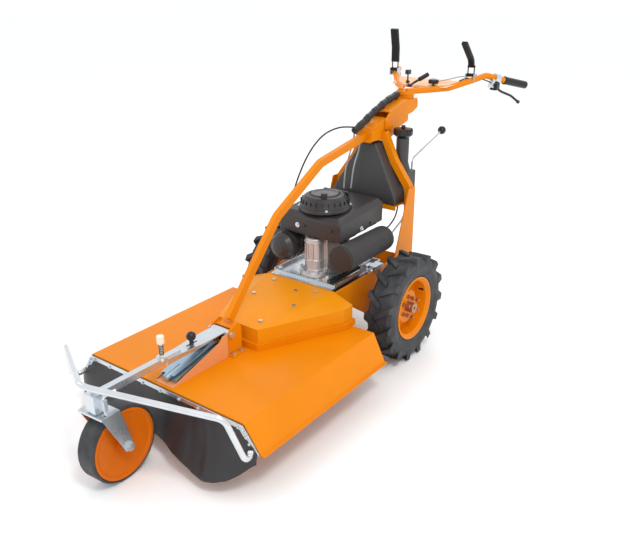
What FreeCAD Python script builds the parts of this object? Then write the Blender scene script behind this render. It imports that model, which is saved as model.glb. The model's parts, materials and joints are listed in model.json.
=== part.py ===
import FreeCAD, Part
import math
import os
from FreeCAD import Placement, Rotation, Vector

# Walk-behind brush mower: a single-spindle flail deck carried on a front caster and two driven wheels.
# Machine axes: origin on the ground, X to the operator's left, Y to the rear, Z up, millimetres.
# Sizes are measured from the point on the ground below the rear axle, then the whole machine is
# moved forward or back by `middle_offset`, so that the row's origin is under the middle of its length.

doc = FreeCAD.newDocument("BrushMower")

DIMS = {
    # whole machine
    "middle_offset": 150.28,
    # sheet metal
    "gauge": 3,
    "plate": 4,
    # cutting deck
    "deck_top": 217.5,
    "deck_bottom": 133,
    "deck_half_top": 334,
    "deck_half_bottom": 398,
    "deck_lip": 10,
    "deck_front": -953,
    "deck_rear": -278,
    "deck_rear_bottom": -303,
    "chamber_radius": 330,
    # blade drive
    "spindle_y": -520,
    "blade_radius": 312,
    "blade_width": 60,
    "blade_level": 92,
    "shaft_radius": 15,
    "running_gap": 0.05,
    "spindle_pulley_radius": 66,
    "blade_belt_level": 264,
    # engine
    "crank_y": -110,
    "crank_radius": 12.5,
    "crank_pulley_radius": 50,
    "drive_pulley_radius": 40,
    "drive_belt_level": 296,
    "engine_floor": 322,
    # gearbox and rear wheels
    "input_y": 64,
    "input_pulley_radius": 58,
    "axle_level": 207,
    "axle_radius": 12.5,
    "tyre_radius": 207,
    "tyre_inner": 244,
    "tyre_width": 105,
    "rim_radius": 116,
    "hub_bolt_circle": 80,
    # front caster
    "caster_y": -1184,
    "caster_trail": 56,
    "caster_radius": 119,
    "caster_width": 66,
    "caster_turn": 3.5,
    "kingpin_radius": 10,
    "arm_pivot_y": -686,
    "arm_pivot_level": 292,
    # frame tubes
    "strut_depth": 28,
    "strut_width": 20,
    "rear_tube": 28,
    "hoop_tube": 9,
    # handlebar
    "bar_tube": 12.5,
    "grip_radius": 16,
    "height_pivot_y": 268,
    "height_pivot_level": 820,
    "swivel_y": 455,
    "swivel_level": 918,
}

sizes = doc.addObject("Spreadsheet::Sheet", "sizes")
for row, (alias, value) in enumerate(DIMS.items(), start=1):
    sizes.set(f"A{row}", alias)
    sizes.set(f"B{row}", str(value))
    sizes.setAlias(f"B{row}", alias)
doc.recompute()

NODES = []


def val(alias):
    """The sheet's value of one driving dimension."""
    return float(getattr(sizes, alias))


def at(x, y, z, rotation=None):
    """A placement given from the ground point below the rear axle."""
    return Placement(Vector(x, y + val("middle_offset"), z), rotation or Rotation())


def node(item, label, placement=None):
    """Register one sub-part: its label is the name of its file."""
    item.Label = label
    if placement is not None:
        item.Placement = placement
    NODES.append(item)
    return item


def set_size(item, prop, value):
    """Bind a property to a sheet expression, or set a plain number."""
    if isinstance(value, str):
        item.setExpression(prop, value)
    else:
        setattr(item, prop, value)


ALONG_X = Rotation(Vector(0, 1, 0), 90)
ALONG_Y = Rotation(Vector(1, 0, 0), -90)


def box(x, y, z, length, width, height, rotation=None):
    """A block whose lowest corner is at x, y, z."""
    item = doc.addObject("Part::Box", "Block")
    set_size(item, "Length", length)
    set_size(item, "Width", width)
    set_size(item, "Height", height)
    item.Placement = at(x, y, z, rotation)
    return item


def cylinder(x, y, z, radius, height, rotation=None):
    """A round bar that starts at x, y, z and runs up, or along the turned axis."""
    item = doc.addObject("Part::Cylinder", "Bar")
    set_size(item, "Radius", radius)
    set_size(item, "Height", height)
    item.Placement = at(x, y, z, rotation)
    return item


def cone(x, y, z, low_radius, high_radius, height, rotation=None):
    item = doc.addObject("Part::Cone", "Taper")
    set_size(item, "Radius1", low_radius)
    set_size(item, "Radius2", high_radius)
    set_size(item, "Height", height)
    item.Placement = at(x, y, z, rotation)
    return item


def hexagon(x, y, z, across, height, rotation=None):
    """A nut or a bolt head."""
    item = doc.addObject("Part::Prism", "Hex")
    item.Polygon = 6
    set_size(item, "Circumradius", across / math.sqrt(3))
    set_size(item, "Height", height)
    item.Placement = at(x, y, z, rotation)
    return item


def fuse(*items):
    item = doc.addObject("Part::MultiFuse", "Joined")
    item.Shapes = list(items)
    return item


def cut(base, *tools):
    item = doc.addObject("Part::Cut", "Opened")
    item.Base = base
    item.Tool = tools[0] if len(tools) == 1 else fuse(*tools)
    return item


def group(*items):
    """Identical or related loose pieces kept in one sub-part."""
    item = doc.addObject("Part::Compound", "Group")
    item.Links = list(items)
    return item


def solid(shape, name="Shaped"):
    """A shape worked out in machine axes by Part's own functions."""
    item = doc.addObject("Part::Feature", name)
    item.Shape = shape
    item.Placement = at(0, 0, 0).multiply(shape.Placement)
    return item


def polygon_face(points):
    points = [Vector(*p) for p in points]
    return Part.Face(Part.makePolygon(points + points[:1]))


def side_plate(outline, x_low, x_high):
    """A plate whose outline lies in the Y-Z plane, between two X positions."""
    face = polygon_face([(x_low, y, z) for y, z in outline])
    return face.extrude(Vector(x_high - x_low, 0, 0))


def rounded_path(points, radii):
    """Straight runs joined by tangent arcs: one radius for each inner point."""
    points = [Vector(*p) for p in points]
    edges = []
    start = points[0]
    for before, corner, after, radius in zip(points, points[1:], points[2:], radii):
        back = (before - corner).normalize()
        ahead = (after - corner).normalize()
        half_turn = (math.pi - back.getAngle(ahead)) / 2
        reach = radius * math.tan(half_turn)
        entry = corner + back * reach
        leave = corner + ahead * reach
        bisector = (back + ahead).normalize()
        middle = corner + bisector * (radius / math.cos(half_turn) - radius)
        if (entry - start).Length > 1e-6:
            edges.append(Part.LineSegment(start, entry).toShape())
        edges.append(Part.Arc(entry, middle, leave).toShape())
        start = leave
    edges.append(Part.LineSegment(start, points[-1]).toShape())
    return Part.Wire(edges)


def cable_radii(points):
    """The largest tangent arc at each inner point that its two runs have room for."""
    points = [Vector(*p) for p in points]
    radii = []
    for before, corner, after in zip(points, points[1:], points[2:]):
        turn = math.pi - (before - corner).getAngle(after - corner)
        run = min((before - corner).Length, (after - corner).Length)
        radii.append(0.45 * run / math.tan(turn / 2))
    return radii


def round_tube(points, radii, radius):
    """A round tube or rod along a rounded path."""
    path = rounded_path(points, radii)
    start, ahead = Vector(*points[0]), Vector(*points[1]) - Vector(*points[0])
    ring = Part.Wire(Part.makeCircle(radius, start, ahead))
    return path.makePipeShell([ring], True, False)


def square_tube(points, radii, across, width):
    """A rectangular tube along a path in a plane that holds the X axis or stands on it."""
    path = rounded_path(points, radii)
    start = Vector(*points[0])
    ahead = (Vector(*points[1]) - start).normalize()
    side = Vector(0, 1, 0) if abs(ahead.x) > 1e-6 else Vector(1, 0, 0)
    up = side.cross(ahead).normalize()
    corners = [(-1, -1), (1, -1), (1, 1), (-1, 1)]
    ring = [start + side * (width / 2 * i) + up * (across / 2 * j) for i, j in corners]
    return path.makePipeShell([Part.makePolygon(ring + ring[:1])], True, False)


def cable(points, radius):
    """A cable of straight runs and large arcs."""
    return round_tube(points, cable_radii(points), radius)


def frustum(low, high):
    """A solid between two outlines with the same number of corners."""
    wires = [Part.makePolygon([Vector(*p) for p in ring + ring[:1]]) for ring in (low, high)]
    return Part.makeLoft(wires, True, True)


def placed(shape, placement):
    """A shape moved to a place, kept inside a compound so that the move stays with it."""
    moved = shape.copy()
    moved.Placement = placement.multiply(moved.Placement)
    return Part.makeCompound([moved])


def both_sides(shape):
    """The shape and its mirror image across the machine's middle plane."""
    return [shape, shape.mirror(Vector(0, 0, 0), Vector(1, 0, 0))]


def sketch_in(body, role, loops):
    """A closed outline of corners, or a (centre, radius) circle, on one of the body's own planes."""
    plane = next(f for f in body.Origin.OriginFeatures if f.Role == role)
    sketch = body.newObject("Sketcher::SketchObject", "Outline")
    sketch.AttachmentSupport = [(plane, "")]
    sketch.MapMode = "FlatFace"
    for loop in loops:
        if len(loop) == 2 and not isinstance(loop[1], tuple):
            centre, radius = loop
            sketch.addGeometry(Part.Circle(Vector(*centre, 0), Vector(0, 0, 1), radius))
            continue
        ends = loop[1:] + loop[:1]
        for start, end in zip(loop, ends):
            sketch.addGeometry(Part.LineSegment(Vector(*start, 0), Vector(*end, 0)))
    return sketch


def turned_body(outline, placement):
    """A turned piece: an outline of (radius, height) corners revolved about the vertical axis."""
    body = doc.addObject("PartDesign::Body", "Turned")
    sketch = sketch_in(body, "XZ_Plane", [outline])
    turn = body.newObject("PartDesign::Revolution", "Turn")
    turn.Profile = sketch
    turn.ReferenceAxis = (sketch, ["V_Axis"])
    turn.Angle = 360
    body.Placement = placement
    return body


def ring_of(count, circle_radius, phase=0.0):
    """Evenly spaced points on a circle."""
    steps = [phase + 2 * math.pi * i / count for i in range(count)]
    return [(circle_radius * math.cos(a), circle_radius * math.sin(a)) for a in steps]


# ---------------------------------------------------------------- cutting deck

TOP = val("deck_top")
BOTTOM = val("deck_bottom")
FRONT = val("deck_front")
REAR = val("deck_rear")
REAR_BOTTOM = val("deck_rear_bottom")
HALF_TOP = val("deck_half_top")
HALF_BOTTOM = val("deck_half_bottom")
GAUGE = val("gauge")
PLATE = val("plate")
SPINDLE = val("spindle_y")
EXTENSION_HALF = 232


def deck_hull(inset, front):
    """The flared housing, drawn in by `inset` on its closed sides."""
    top = TOP - inset
    slope = (HALF_BOTTOM - HALF_TOP) / (TOP - BOTTOM)
    half_top = HALF_TOP - inset * math.hypot(1, slope) + inset * slope
    half_low = half_top + slope * (top - BOTTOM)
    rear_low = REAR_BOTTOM - inset
    rear_top = REAR - inset
    low = [(-half_low, front, BOTTOM), (half_low, front, BOTTOM),
           (half_low, rear_low, BOTTOM), (-half_low, rear_low, BOTTOM)]
    high = [(-half_top, front, top), (half_top, front, top),
            (half_top, rear_top, top), (-half_top, rear_top, top)]
    return frustum(low, high)


def chamber_drum(radius, half, height):
    """The round end of the cutting chamber, which reaches back between the rear wheels."""
    drum = Part.makeCylinder(radius, height, Vector(0, SPINDLE, BOTTOM))
    keep = Part.makeBox(2 * half, radius, height, Vector(-half, REAR_BOTTOM - 2 * GAUGE, BOTTOM))
    return drum.common(keep)


def make_deck():
    radius = val("chamber_radius")
    depth = TOP - BOTTOM
    outer = deck_hull(0, FRONT).fuse(chamber_drum(radius + GAUGE, EXTENSION_HALF + GAUGE, depth))
    inner = deck_hull(GAUGE, FRONT - 10).fuse(chamber_drum(radius, EXTENSION_HALF, depth - GAUGE))
    below = Part.makeBox(1000, 1000, 20, Vector(-500, FRONT - 20, BOTTOM - 20))
    shell = outer.cut(inner.fuse(below))
    lip_out = HALF_BOTTOM + val("deck_lip")
    lip = polygon_face([(HALF_BOTTOM - 4, FRONT, BOTTOM), (lip_out, FRONT, BOTTOM),
                        (lip_out, REAR_BOTTOM, BOTTOM), (HALF_BOTTOM - 4, REAR_BOTTOM, BOTTOM)])
    lips = both_sides(lip.extrude(Vector(0, 0, GAUGE)))
    front_lip = Part.makeBox(2 * HALF_TOP, GAUGE, 26, Vector(-HALF_TOP, FRONT, TOP - 26))
    shell = shell.fuse(lips + [front_lip])
    housing_hole = Part.makeCylinder(30.5, 40, Vector(0, SPINDLE, TOP - 20))
    return shell.cut(housing_hole).removeSplitter()


node(solid(make_deck(), "Deck"), "deck_shell")

# Raised tray under the belt cover, with rounded corners.
COVER_BASE = 240
COVER_WAIST = 290
COVER_FRONT = -608
COVER_SHOULDER = -313
COVER_REAR = -262
COVER_HALF_FRONT = 88
COVER_HALF_REAR = 232
COVER_HALF_RIDGE = 150
COVER_RIDGE = 320


def cover_outline(level, inset):
    half_front = COVER_HALF_FRONT - inset
    half_rear = COVER_HALF_REAR - inset
    return [(-half_front, COVER_FRONT + inset, level), (half_front, COVER_FRONT + inset, level),
            (half_rear, COVER_SHOULDER + inset, level), (half_rear, COVER_REAR, level),
            (-half_rear, COVER_REAR, level), (-half_rear, COVER_SHOULDER + inset, level)]


def make_tray():
    ring = [Vector(*p) for p in cover_outline(TOP, 0)]
    wire = Part.makePolygon(ring + ring[:1])
    outer = Part.Face(wire.makeOffset2D(13))
    inner = Part.Face(wire.makeOffset2D(-5))
    rise = COVER_BASE - TOP
    wall = outer.extrude(Vector(0, 0, rise)).cut(inner.extrude(Vector(0, 0, rise)))
    behind = Part.makeBox(600, 60, 60, Vector(-300, COVER_REAR, TOP))
    return wall.cut(behind)


def cover_hull(inset, rear):
    """The faceted lid: upright sides, a rising top and a crease down to each rear shoulder."""
    low = cover_outline(COVER_BASE - (1 if inset else 0), inset)
    waist = [(x, y, COVER_WAIST - inset) for x, y, z in low]
    f_left, f_right, s_right, r_right, r_left, s_left = waist
    half_ridge = COVER_HALF_RIDGE - inset
    p_right = (half_ridge, COVER_REAR, COVER_RIDGE - inset)
    p_left = (-half_ridge, COVER_REAR, COVER_RIDGE - inset)
    faces = [low[::-1]]
    for i in range(6):
        j = (i + 1) % 6
        if i != 3:
            faces.append([low[i], low[j], waist[j], waist[i]])
    faces.append([low[3], low[4], r_left, p_left, p_right, r_right])
    faces.append([f_left, f_right, p_right, p_left])
    faces.append([f_right, s_right, p_right])
    faces.append([s_right, r_right, p_right])
    faces.append([f_left, p_left, s_left])
    faces.append([s_left, p_left, r_left])
    hull = Part.Solid(Part.Shell([polygon_face(f) for f in faces]))
    if rear > COVER_REAR:
        back = polygon_face(faces[6]).extrude(Vector(0, rear - COVER_REAR, 0))
        hull = hull.fuse(back)
    return hull


node(solid(make_tray(), "Tray"), "belt_tray")
node(solid(cover_hull(0, COVER_REAR).cut(cover_hull(2.5, COVER_REAR + 20)), "Cover"), "belt_cover")

# Spindle housing, bolted through the deck.
housing = fuse(cylinder(0, SPINDLE, TOP, 60, 8), cylinder(0, SPINDLE, 150, 30, 88))
bore = cylinder(0, SPINDLE, 140, "sizes.shaft_radius + sizes.running_gap", 120)
node(cut(housing, bore), "spindle_housing")

# ---------------------------------------------------------------- wedge bracket and caster arm seat

WEDGE_FRONT = -946
WEDGE_REAR = -700
WEDGE_HALF = 38
PIVOT_Y = val("arm_pivot_y")
PIVOT_Z = val("arm_pivot_level")


def make_wedge():
    outline = [(WEDGE_FRONT, TOP), (WEDGE_FRONT, TOP + 3), (-736, 284), (-722, 299),
               (WEDGE_REAR, 299), (WEDGE_REAR, TOP)]
    cheek = side_plate(outline, WEDGE_HALF, WEDGE_HALF + GAUGE)
    floor = Part.makeBox(2 * WEDGE_HALF, WEDGE_REAR - WEDGE_FRONT, GAUGE,
                         Vector(-WEDGE_HALF, WEDGE_FRONT, TOP))
    back = Part.makeBox(2 * WEDGE_HALF, GAUGE, 50, Vector(-WEDGE_HALF, WEDGE_REAR - GAUGE, TOP))
    body = floor.fuse(both_sides(cheek) + [back])
    return body.removeSplitter()


node(solid(make_wedge(), "Wedge"), "wedge_bracket")

def make_channel():
    """Open channel that rises inside the wedge, with the round end of the lift spring in its mouth."""
    low, high = (-922, TOP + 7), (-734, 264)
    floor = side_plate([low, high, (high[0], high[1] + GAUGE), (low[0], low[1] + GAUGE)], -34, 34)
    wall = [low, high, (high[0], high[1] + 13), (low[0], low[1] + 13)]
    walls = [side_plate(wall, x, x + GAUGE) for x in (-34, 31)]
    spring = Part.makeCylinder(12, 62, Vector(0, -936, TOP + 18), Vector(0, 188, 39.5))
    rod = Part.makeCylinder(6, 190, Vector(0, -930, TOP + 19.3), Vector(0, 188, 39.5))
    return floor.fuse(walls + [spring, rod])


node(solid(make_channel(), "Channel"), "spring_channel")

# ---------------------------------------------------------------- frame tubes

STRUT_PATH = [(0, -650, 322), (0, -391, 607), (0, -140, 744), (0, 160, 796)]
STRUT_BENDS = [90, 90]


def make_strut():
    return square_tube(STRUT_PATH, STRUT_BENDS, val("strut_depth"), val("strut_width"))


def make_foot():
    """Folded foot that carries the strut, bolted down in front of the belt cover."""
    front, rear = WEDGE_REAR + 1, -636
    outline = [(front, TOP), (front, 300), (-690, 310), (-652, 322), (rear, 302), (rear, TOP)]
    cheek = side_plate(outline, WEDGE_HALF, WEDGE_HALF + PLATE)
    floor = Part.makeBox(124, rear - front, PLATE, Vector(-62, front, TOP))
    seat = Part.makeBox(2 * WEDGE_HALF, 40, PLATE, Vector(-WEDGE_HALF, -676, 305))
    wall = Part.makeBox(2 * WEDGE_HALF, PLATE, 92, Vector(-WEDGE_HALF, rear - 10, TOP))
    pin_hole = Part.makeCylinder(8, 120, Vector(-60, PIVOT_Y, PIVOT_Z), Vector(1, 0, 0))
    return floor.fuse(both_sides(cheek) + [seat, wall]).cut(pin_hole).removeSplitter()


strut_shape = make_strut()
foot_shape = make_foot()
node(solid(strut_shape.cut(foot_shape), "Strut"), "front_strut")
node(solid(foot_shape, "Foot"), "strut_foot")

REAR_TUBE = val("rear_tube")
REAR_TUBE_Y = 232
REAR_PATH = [(40, REAR_TUBE_Y, 800), (92, REAR_TUBE_Y, 692), (165, REAR_TUBE_Y, 592),
             (165, REAR_TUBE_Y, 470)]


def make_rear_leg():
    """Bent upper tube and the wide lower plate that it is welded to."""
    tube = square_tube(REAR_PATH, [110, 60], REAR_TUBE, REAR_TUBE)
    plate = side_plate([(246, 600), (246, 326), (104, 326), (128, 400), (196, 600)], 179, 183)
    flange = Part.makeBox(22, PLATE, 150, Vector(157, 242, 326))
    return tube.fuse([plate, flange]).removeSplitter()


def make_shelf():
    """Tray under the fuel tank, welded between the legs."""
    tray = Part.makeBox(302, 95, GAUGE, Vector(-151, 150, 532))
    lips = [Part.makeBox(302, GAUGE, 14, Vector(-151, y, 518)) for y in (150, 242)]
    return tray.fuse(lips).removeSplitter()


node(solid(Part.makeCompound(both_sides(make_rear_leg()) + [make_shelf()]), "RearFrame"), "rear_frame")

HEIGHT_Y = val("height_pivot_y")
HEIGHT_Z = val("height_pivot_level")
HEAD_HALF = 36


def make_head():
    outline = [(146, 776), (146, 812), (192, 838), (262, 852), (318, 838), (334, 812), (330, 786),
               (296, 772)]
    block = side_plate(outline, -HEAD_HALF, HEAD_HALF)
    strut_seat = Part.makeBox(60, 12, 60, Vector(-30, 146, 770))
    lower = Part.makeCylinder(30, 12, Vector(0, 262, 766))
    bore = Part.makeCylinder(8.05, 100, Vector(-50, HEIGHT_Y, HEIGHT_Z), Vector(1, 0, 0))
    return block.fuse([strut_seat, lower]).cut(bore).removeSplitter()


head_shape = make_head()
legs_shape = Part.makeCompound(both_sides(make_rear_leg()))
node(solid(head_shape.cut(strut_shape).cut(legs_shape), "Head"), "frame_head")

# ---------------------------------------------------------------- chassis, engine frame, gearbox

FLOOR = val("engine_floor")
AXLE = val("axle_level")
CHASSIS_HALF = 156


def make_chassis():
    """Two side plates from the deck back to the rear legs, tied by a cross member."""
    outline = [(COVER_REAR, TOP), (COVER_REAR, FLOOR - 2), (140, FLOOR - 2), (246, FLOOR + 3),
               (246, 286), (70, 158), (-62, 158), (-150, TOP)]
    cheek = side_plate(outline, CHASSIS_HALF, CHASSIS_HALF + PLATE)
    axle_hole = Part.makeCylinder(31, 40, Vector(140, 0, AXLE), Vector(1, 0, 0))
    lighter = Part.makeCylinder(20, 40, Vector(140, 150, 268), Vector(1, 0, 0))
    outrigger = Part.makeBox(19, 96, 34, Vector(CHASSIS_HALF + PLATE, 150, 286))
    cheek = cheek.cut(axle_hole.fuse(lighter)).fuse(outrigger)
    cross = Part.makeBox(2 * CHASSIS_HALF, PLATE, 60, Vector(-CHASSIS_HALF, 196, 262))
    return cross.fuse(both_sides(cheek)).removeSplitter()


node(solid(make_chassis(), "Chassis"), "chassis_frame")


def make_engine_frame():
    """Galvanised frame: a floor with a round opening and folded edges."""
    floor = Part.makeBox(284, 310, PLATE, Vector(-142, -244, FLOOR))
    opening = Part.makeCylinder(58, 20, Vector(0, val("crank_y"), FLOOR - 8))
    rails = [Part.makeBox(PLATE, 310, 16, Vector(x, -244, FLOOR)) for x in (-142, 138)]
    front = Part.makeBox(284, PLATE, 12, Vector(-142, -244, FLOOR))
    apron = Part.makeBox(284, 24, PLATE, Vector(-142, -266, FLOOR - 1))
    rear = Part.makeBox(284, PLATE, 16, Vector(-142, 62, FLOOR))
    return floor.cut(opening).fuse(rails + [front, rear, apron]).removeSplitter()


node(solid(make_engine_frame(), "EngineFrame"), "engine_frame")

gearcase = box(-72, -54, 150, 144, 168, 112)
axle_tubes = [cylinder(x, 0, AXLE, 28, 84, ALONG_X) for x in (72, -156)]
case_lid = box(-58, -42, 262, 110, 138, 8)
axle_bore = cylinder(-200, 0, AXLE, "sizes.axle_radius + sizes.running_gap", 400, ALONG_X)
input_bore = cylinder(0, val("input_y"), 220, 10.05, 60)
selector_bore = cylinder(62, 102, 235, 4.05, 60)
node(cut(fuse(gearcase, case_lid, *axle_tubes), axle_bore, input_bore, selector_bore), "gearbox")

# ---------------------------------------------------------------- engine

CRANK = val("crank_y")
crank_foot = cylinder(0, CRANK, FLOOR + 4, 66, 12)
crank_block = box(-60, CRANK - 50, FLOOR + 16, 108, 150, 132)
front_column = cylinder(0, -172, FLOOR + 16, 35, 134)
column_foot = cone(0, -172, FLOOR + 4, 60, 52, 22)
crank_bore = cylinder(0, CRANK, FLOOR - 5, "sizes.crank_radius + sizes.running_gap", 300)
crankcase = fuse(crank_foot, crank_block, front_column, column_foot)
node(cut(crankcase, crank_bore), "crankcase")

COWL_LOW = [(-150, -196, 478), (133, -196, 478), (133, 85, 492), (-150, 85, 492)]
COWL_HIGH = [(-146, -204, 548), (134, -204, 548), (134, 88, 566), (-146, 88, 566)]
COWL_CROWN = [(-128, -186, 564), (112, -186, 564), (114, 80, 584), (-128, 80, 584)]


def make_cowl():
    lower = frustum(COWL_LOW, COWL_HIGH)
    upper = frustum(COWL_HIGH, COWL_CROWN)
    hollow = frustum([(-143, -188, 470), (126, -188, 470), (126, 78, 470), (-143, 78, 470)],
                     [(-136, -190, 545), (124, -190, 545), (124, 80, 556), (-136, 80, 556)])
    crank_room = Part.makeCylinder(20, 80, Vector(0, CRANK, 530))
    return lower.fuse(upper).cut(hollow.fuse(crank_room)).removeSplitter()


node(solid(make_cowl(), "Cowl"), "engine_cowl")

STARTER_BASE = 570
STARTER_GRIP = (32, -160)
starter_outline = [(0, 0), (98, 0), (98, 14), (92, 26), (90, 42), (84, 54), (66, 60), (0, 60)]
starter = turned_body(starter_outline, at(0, CRANK, STARTER_BASE))
starter_room = cylinder(0, CRANK, STARTER_BASE - 5, 20, 30)
cowl_top = solid(frustum(COWL_HIGH, COWL_CROWN), "CowlTop")
grip_seat = cylinder(*STARTER_GRIP, STARTER_BASE + 20, 9, 60)
node(cut(starter, starter_room, cowl_top, grip_seat), "starter_housing")

MUFFLER_X = 152
MUFFLER_Z = 432
muffler_can = cylinder(MUFFLER_X, -222, MUFFLER_Z, 40, 286, ALONG_Y)
outlet = cylinder(MUFFLER_X - 30, -90, MUFFLER_Z + 8, 12, 60, Rotation(Vector(0, 1, 0), -90))
guard_outer = cylinder(MUFFLER_X, -228, MUFFLER_Z, 46, 298, ALONG_Y)
guard_inner = cylinder(MUFFLER_X, -224, MUFFLER_Z, 42.5, 290, ALONG_Y)
guard_slot = box(MUFFLER_X - 70, -120, MUFFLER_Z - 6, 40, 60, 28)
guard = cut(guard_outer, guard_inner, guard_slot)
node(group(fuse(muffler_can, outlet), guard), "muffler")

filter_outline = [(0, -2), (22, 0), (42, 10), (54, 28), (56, 50), (56, 104), (0, 104)]
node(turned_body(filter_outline, at(-121, -246, 421, ALONG_Y)), "air_filter")

# ---------------------------------------------------------------- fuel tank

TANK_LOW = [(-146, 152, 536), (146, 152, 536), (146, 240, 536), (-146, 240, 536)]
TANK_HIP = [(-148, 150, 566), (148, 150, 566), (148, 250, 566), (-148, 250, 566)]
TANK_TOP = [(-34, 176, 764), (34, 176, 764), (34, 246, 764), (-34, 246, 764)]


FILLER = (96, 283)


def make_tank():
    """Tapered tank with a sump box behind the frame and an upright filler neck."""
    x, y = FILLER
    body = frustum(TANK_LOW, TANK_HIP).fuse(frustum(TANK_HIP, TANK_TOP))
    sump = Part.makeBox(160, 96, 104, Vector(-26, 240, 540))
    neck = Part.makeCylinder(26, 178, Vector(x, y, 602))
    shoulder = Part.makeCone(38, 26, 40, Vector(x, y, 640))
    body = body.fuse([sump, neck, shoulder])
    leg_room = both_sides(square_tube(REAR_PATH, [110, 60], REAR_TUBE + 3, REAR_TUBE + 3))
    plate_room = [Part.makeBox(30, 160, 300, Vector(low, 100, 320)) for low in (150, -180)]
    filler = Part.makeCylinder(20, 60, Vector(x, y, 740))
    return body.cut(leg_room + plate_room + [filler])


node(solid(make_tank(), "Tank"), "fuel_tank")
cap_outline = [(0, -14), (19, -14), (19, 0.4), (27, 0.4), (38, 10), (38, 24), (31, 34), (8, 36), (8, 46),
               (0, 46)]
node(turned_body(cap_outline, at(*FILLER, 780)), "fuel_cap")

# ---------------------------------------------------------------- front hoop, flap and its strips

HOOP_PATH = [(-372, -970, 150), (-388, -1000, 128), (-346, -1037, 281), (0, -1226, 353),
             (346, -1037, 281), (388, -1000, 128), (372, -970, 150)]
HOOP_BENDS = [22, 34, 60, 34, 22]
node(solid(round_tube(HOOP_PATH, HOOP_BENDS, val("hoop_tube")), "Hoop"), "front_hoop")

FLAP_THICKNESS = 3
STRIP = 3


def front_slab(low_z, high_z, near_y, depth, inset=0):
    """A bent sheet that follows the deck's front edge: across the top and down each flared side."""
    slope = (HALF_BOTTOM - HALF_TOP) / (TOP - BOTTOM)
    half_high = HALF_TOP + slope * (TOP - high_z) - inset
    half_low = HALF_TOP + slope * (TOP - low_z) - inset
    outline = [(-half_low, near_y, low_z), (half_low, near_y, low_z),
               (half_high, near_y, high_z), (-half_high, near_y, high_z)]
    return polygon_face(outline).extrude(Vector(0, -depth, 0))


FLAP_Y = FRONT - 0.4


def make_strips():
    strip_y = FLAP_Y - FLAP_THICKNESS - 0.4
    full = front_slab(BOTTOM + 4, TOP - 4, strip_y, STRIP, 2)
    hollow = front_slab(BOTTOM - 20, TOP - 17, strip_y + 1, STRIP + 2, 25)
    return full.cut(hollow)


FLAP_SHARES = [-1, -0.92, -0.74, -0.38, 0, 0.38, 0.70, 0.92, 1]
FLAP_LEVELS = [
    # level, half width, forward bulge at each share of the half width
    (TOP - 5, HALF_TOP - 4, [0] * 9),
    (TOP - 26, HALF_TOP + 14, [0] * 9),
    (BOTTOM + 4, HALF_BOTTOM - 8, [0, 0, 44, 30, 12, 26, 36, 0, 0]),
    (32, HALF_BOTTOM - 8, [26, 44, 84, 62, 22, 48, 72, 40, 6]),
]


def make_flap():
    """Rubber curtain across the mouth of the deck, flat under its strips and bulging below them."""
    rings = []
    for level, half, bulges in FLAP_LEVELS:
        back = [Vector(share * half, FLAP_Y - bulge, level) for share, bulge in zip(FLAP_SHARES, bulges)]
        front = [Vector(p.x, p.y - FLAP_THICKNESS, level) for p in reversed(back)]
        rings.append(Part.makePolygon(back + front + back[:1]))
    return Part.makeLoft(rings, True, True)


node(solid(make_strips(), "Strips"), "flap_strips")
node(solid(make_flap(), "Flap"), "rubber_flap")

# ---------------------------------------------------------------- blade spindle

shaft = cylinder(0, SPINDLE, 66, "sizes.shaft_radius", 216)
hub = cylinder(0, SPINDLE, 97.2, 34, 50)
pulley_outline = [(14, -14), (66, -14), (66, -8), (54, -3), (54, 3), (66, 8), (66, 14), (14, 14)]
spindle_pulley = turned_body(pulley_outline, at(0, SPINDLE, val("blade_belt_level")))
node(fuse(shaft, hub, spindle_pulley), "spindle_shaft")

BLADE_R = val("blade_radius")
BLADE_W = val("blade_width")


def make_blade():
    """Flat cutting bar with ground leading edges and turned-up wings."""
    half = BLADE_W / 2
    bar = [(-BLADE_R + 90, -half), (BLADE_R, -half), (BLADE_R, half - 16), (BLADE_R - 90, half),
           (-BLADE_R, half), (-BLADE_R, -half + 16)]
    level = val("blade_level")
    plate = polygon_face([(x, SPINDLE + y, level) for x, y in bar]).extrude(Vector(0, 0, 5))
    wing = [(-half, level + 5), (-half, level + 1), (-half - 14, level + 20), (-half - 14, level + 25)]
    wing_right = polygon_face([(BLADE_R - 80, SPINDLE + y, z) for y, z in wing]).extrude(Vector(70, 0, 0))
    wing_left = wing_right.copy()
    wing_left.rotate(Vector(0, SPINDLE, 0), Vector(0, 0, 1), 180)
    hole = Part.makeCylinder(val("shaft_radius"), 60, Vector(0, SPINDLE, level - 20))
    return plate.fuse([wing_right, wing_left]).cut(hole)


node(solid(make_blade(), "Blade"), "blade")
dish_outline = [(15, 0), (60, 0), (105, 12), (105, 16), (58, 5), (15, 5)]
dish = turned_body(dish_outline, at(0, SPINDLE, 70))
node(dish, "skid_dish")

# ---------------------------------------------------------------- crankshaft, belts and idlers

crank_shaft = cylinder(0, CRANK, 244, "sizes.crank_radius", 330)
crank_outline = [(12, -18), (50, -18), (50, -8), (38, -3), (38, 3), (50, 8), (50, 18), (40, 18), (40, 24),
                 (28, 29), (28, 35), (40, 40), (40, 46), (12, 46)]
crank_pulley = turned_body(crank_outline, at(0, CRANK, val("blade_belt_level")))
node(fuse(crank_shaft, crank_pulley), "crankshaft")

INPUT_Y = val("input_y")
input_outline = [(0, -16), (58, -16), (58, -8), (46, -3), (46, 3), (58, 8), (58, 14), (0, 14)]
input_pulley = turned_body(input_outline, at(0, INPUT_Y, val("drive_belt_level")))
input_shaft = cylinder(0, INPUT_Y, 226, 10, 60)
node(fuse(input_pulley, input_shaft), "gearbox_pulley")


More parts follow.
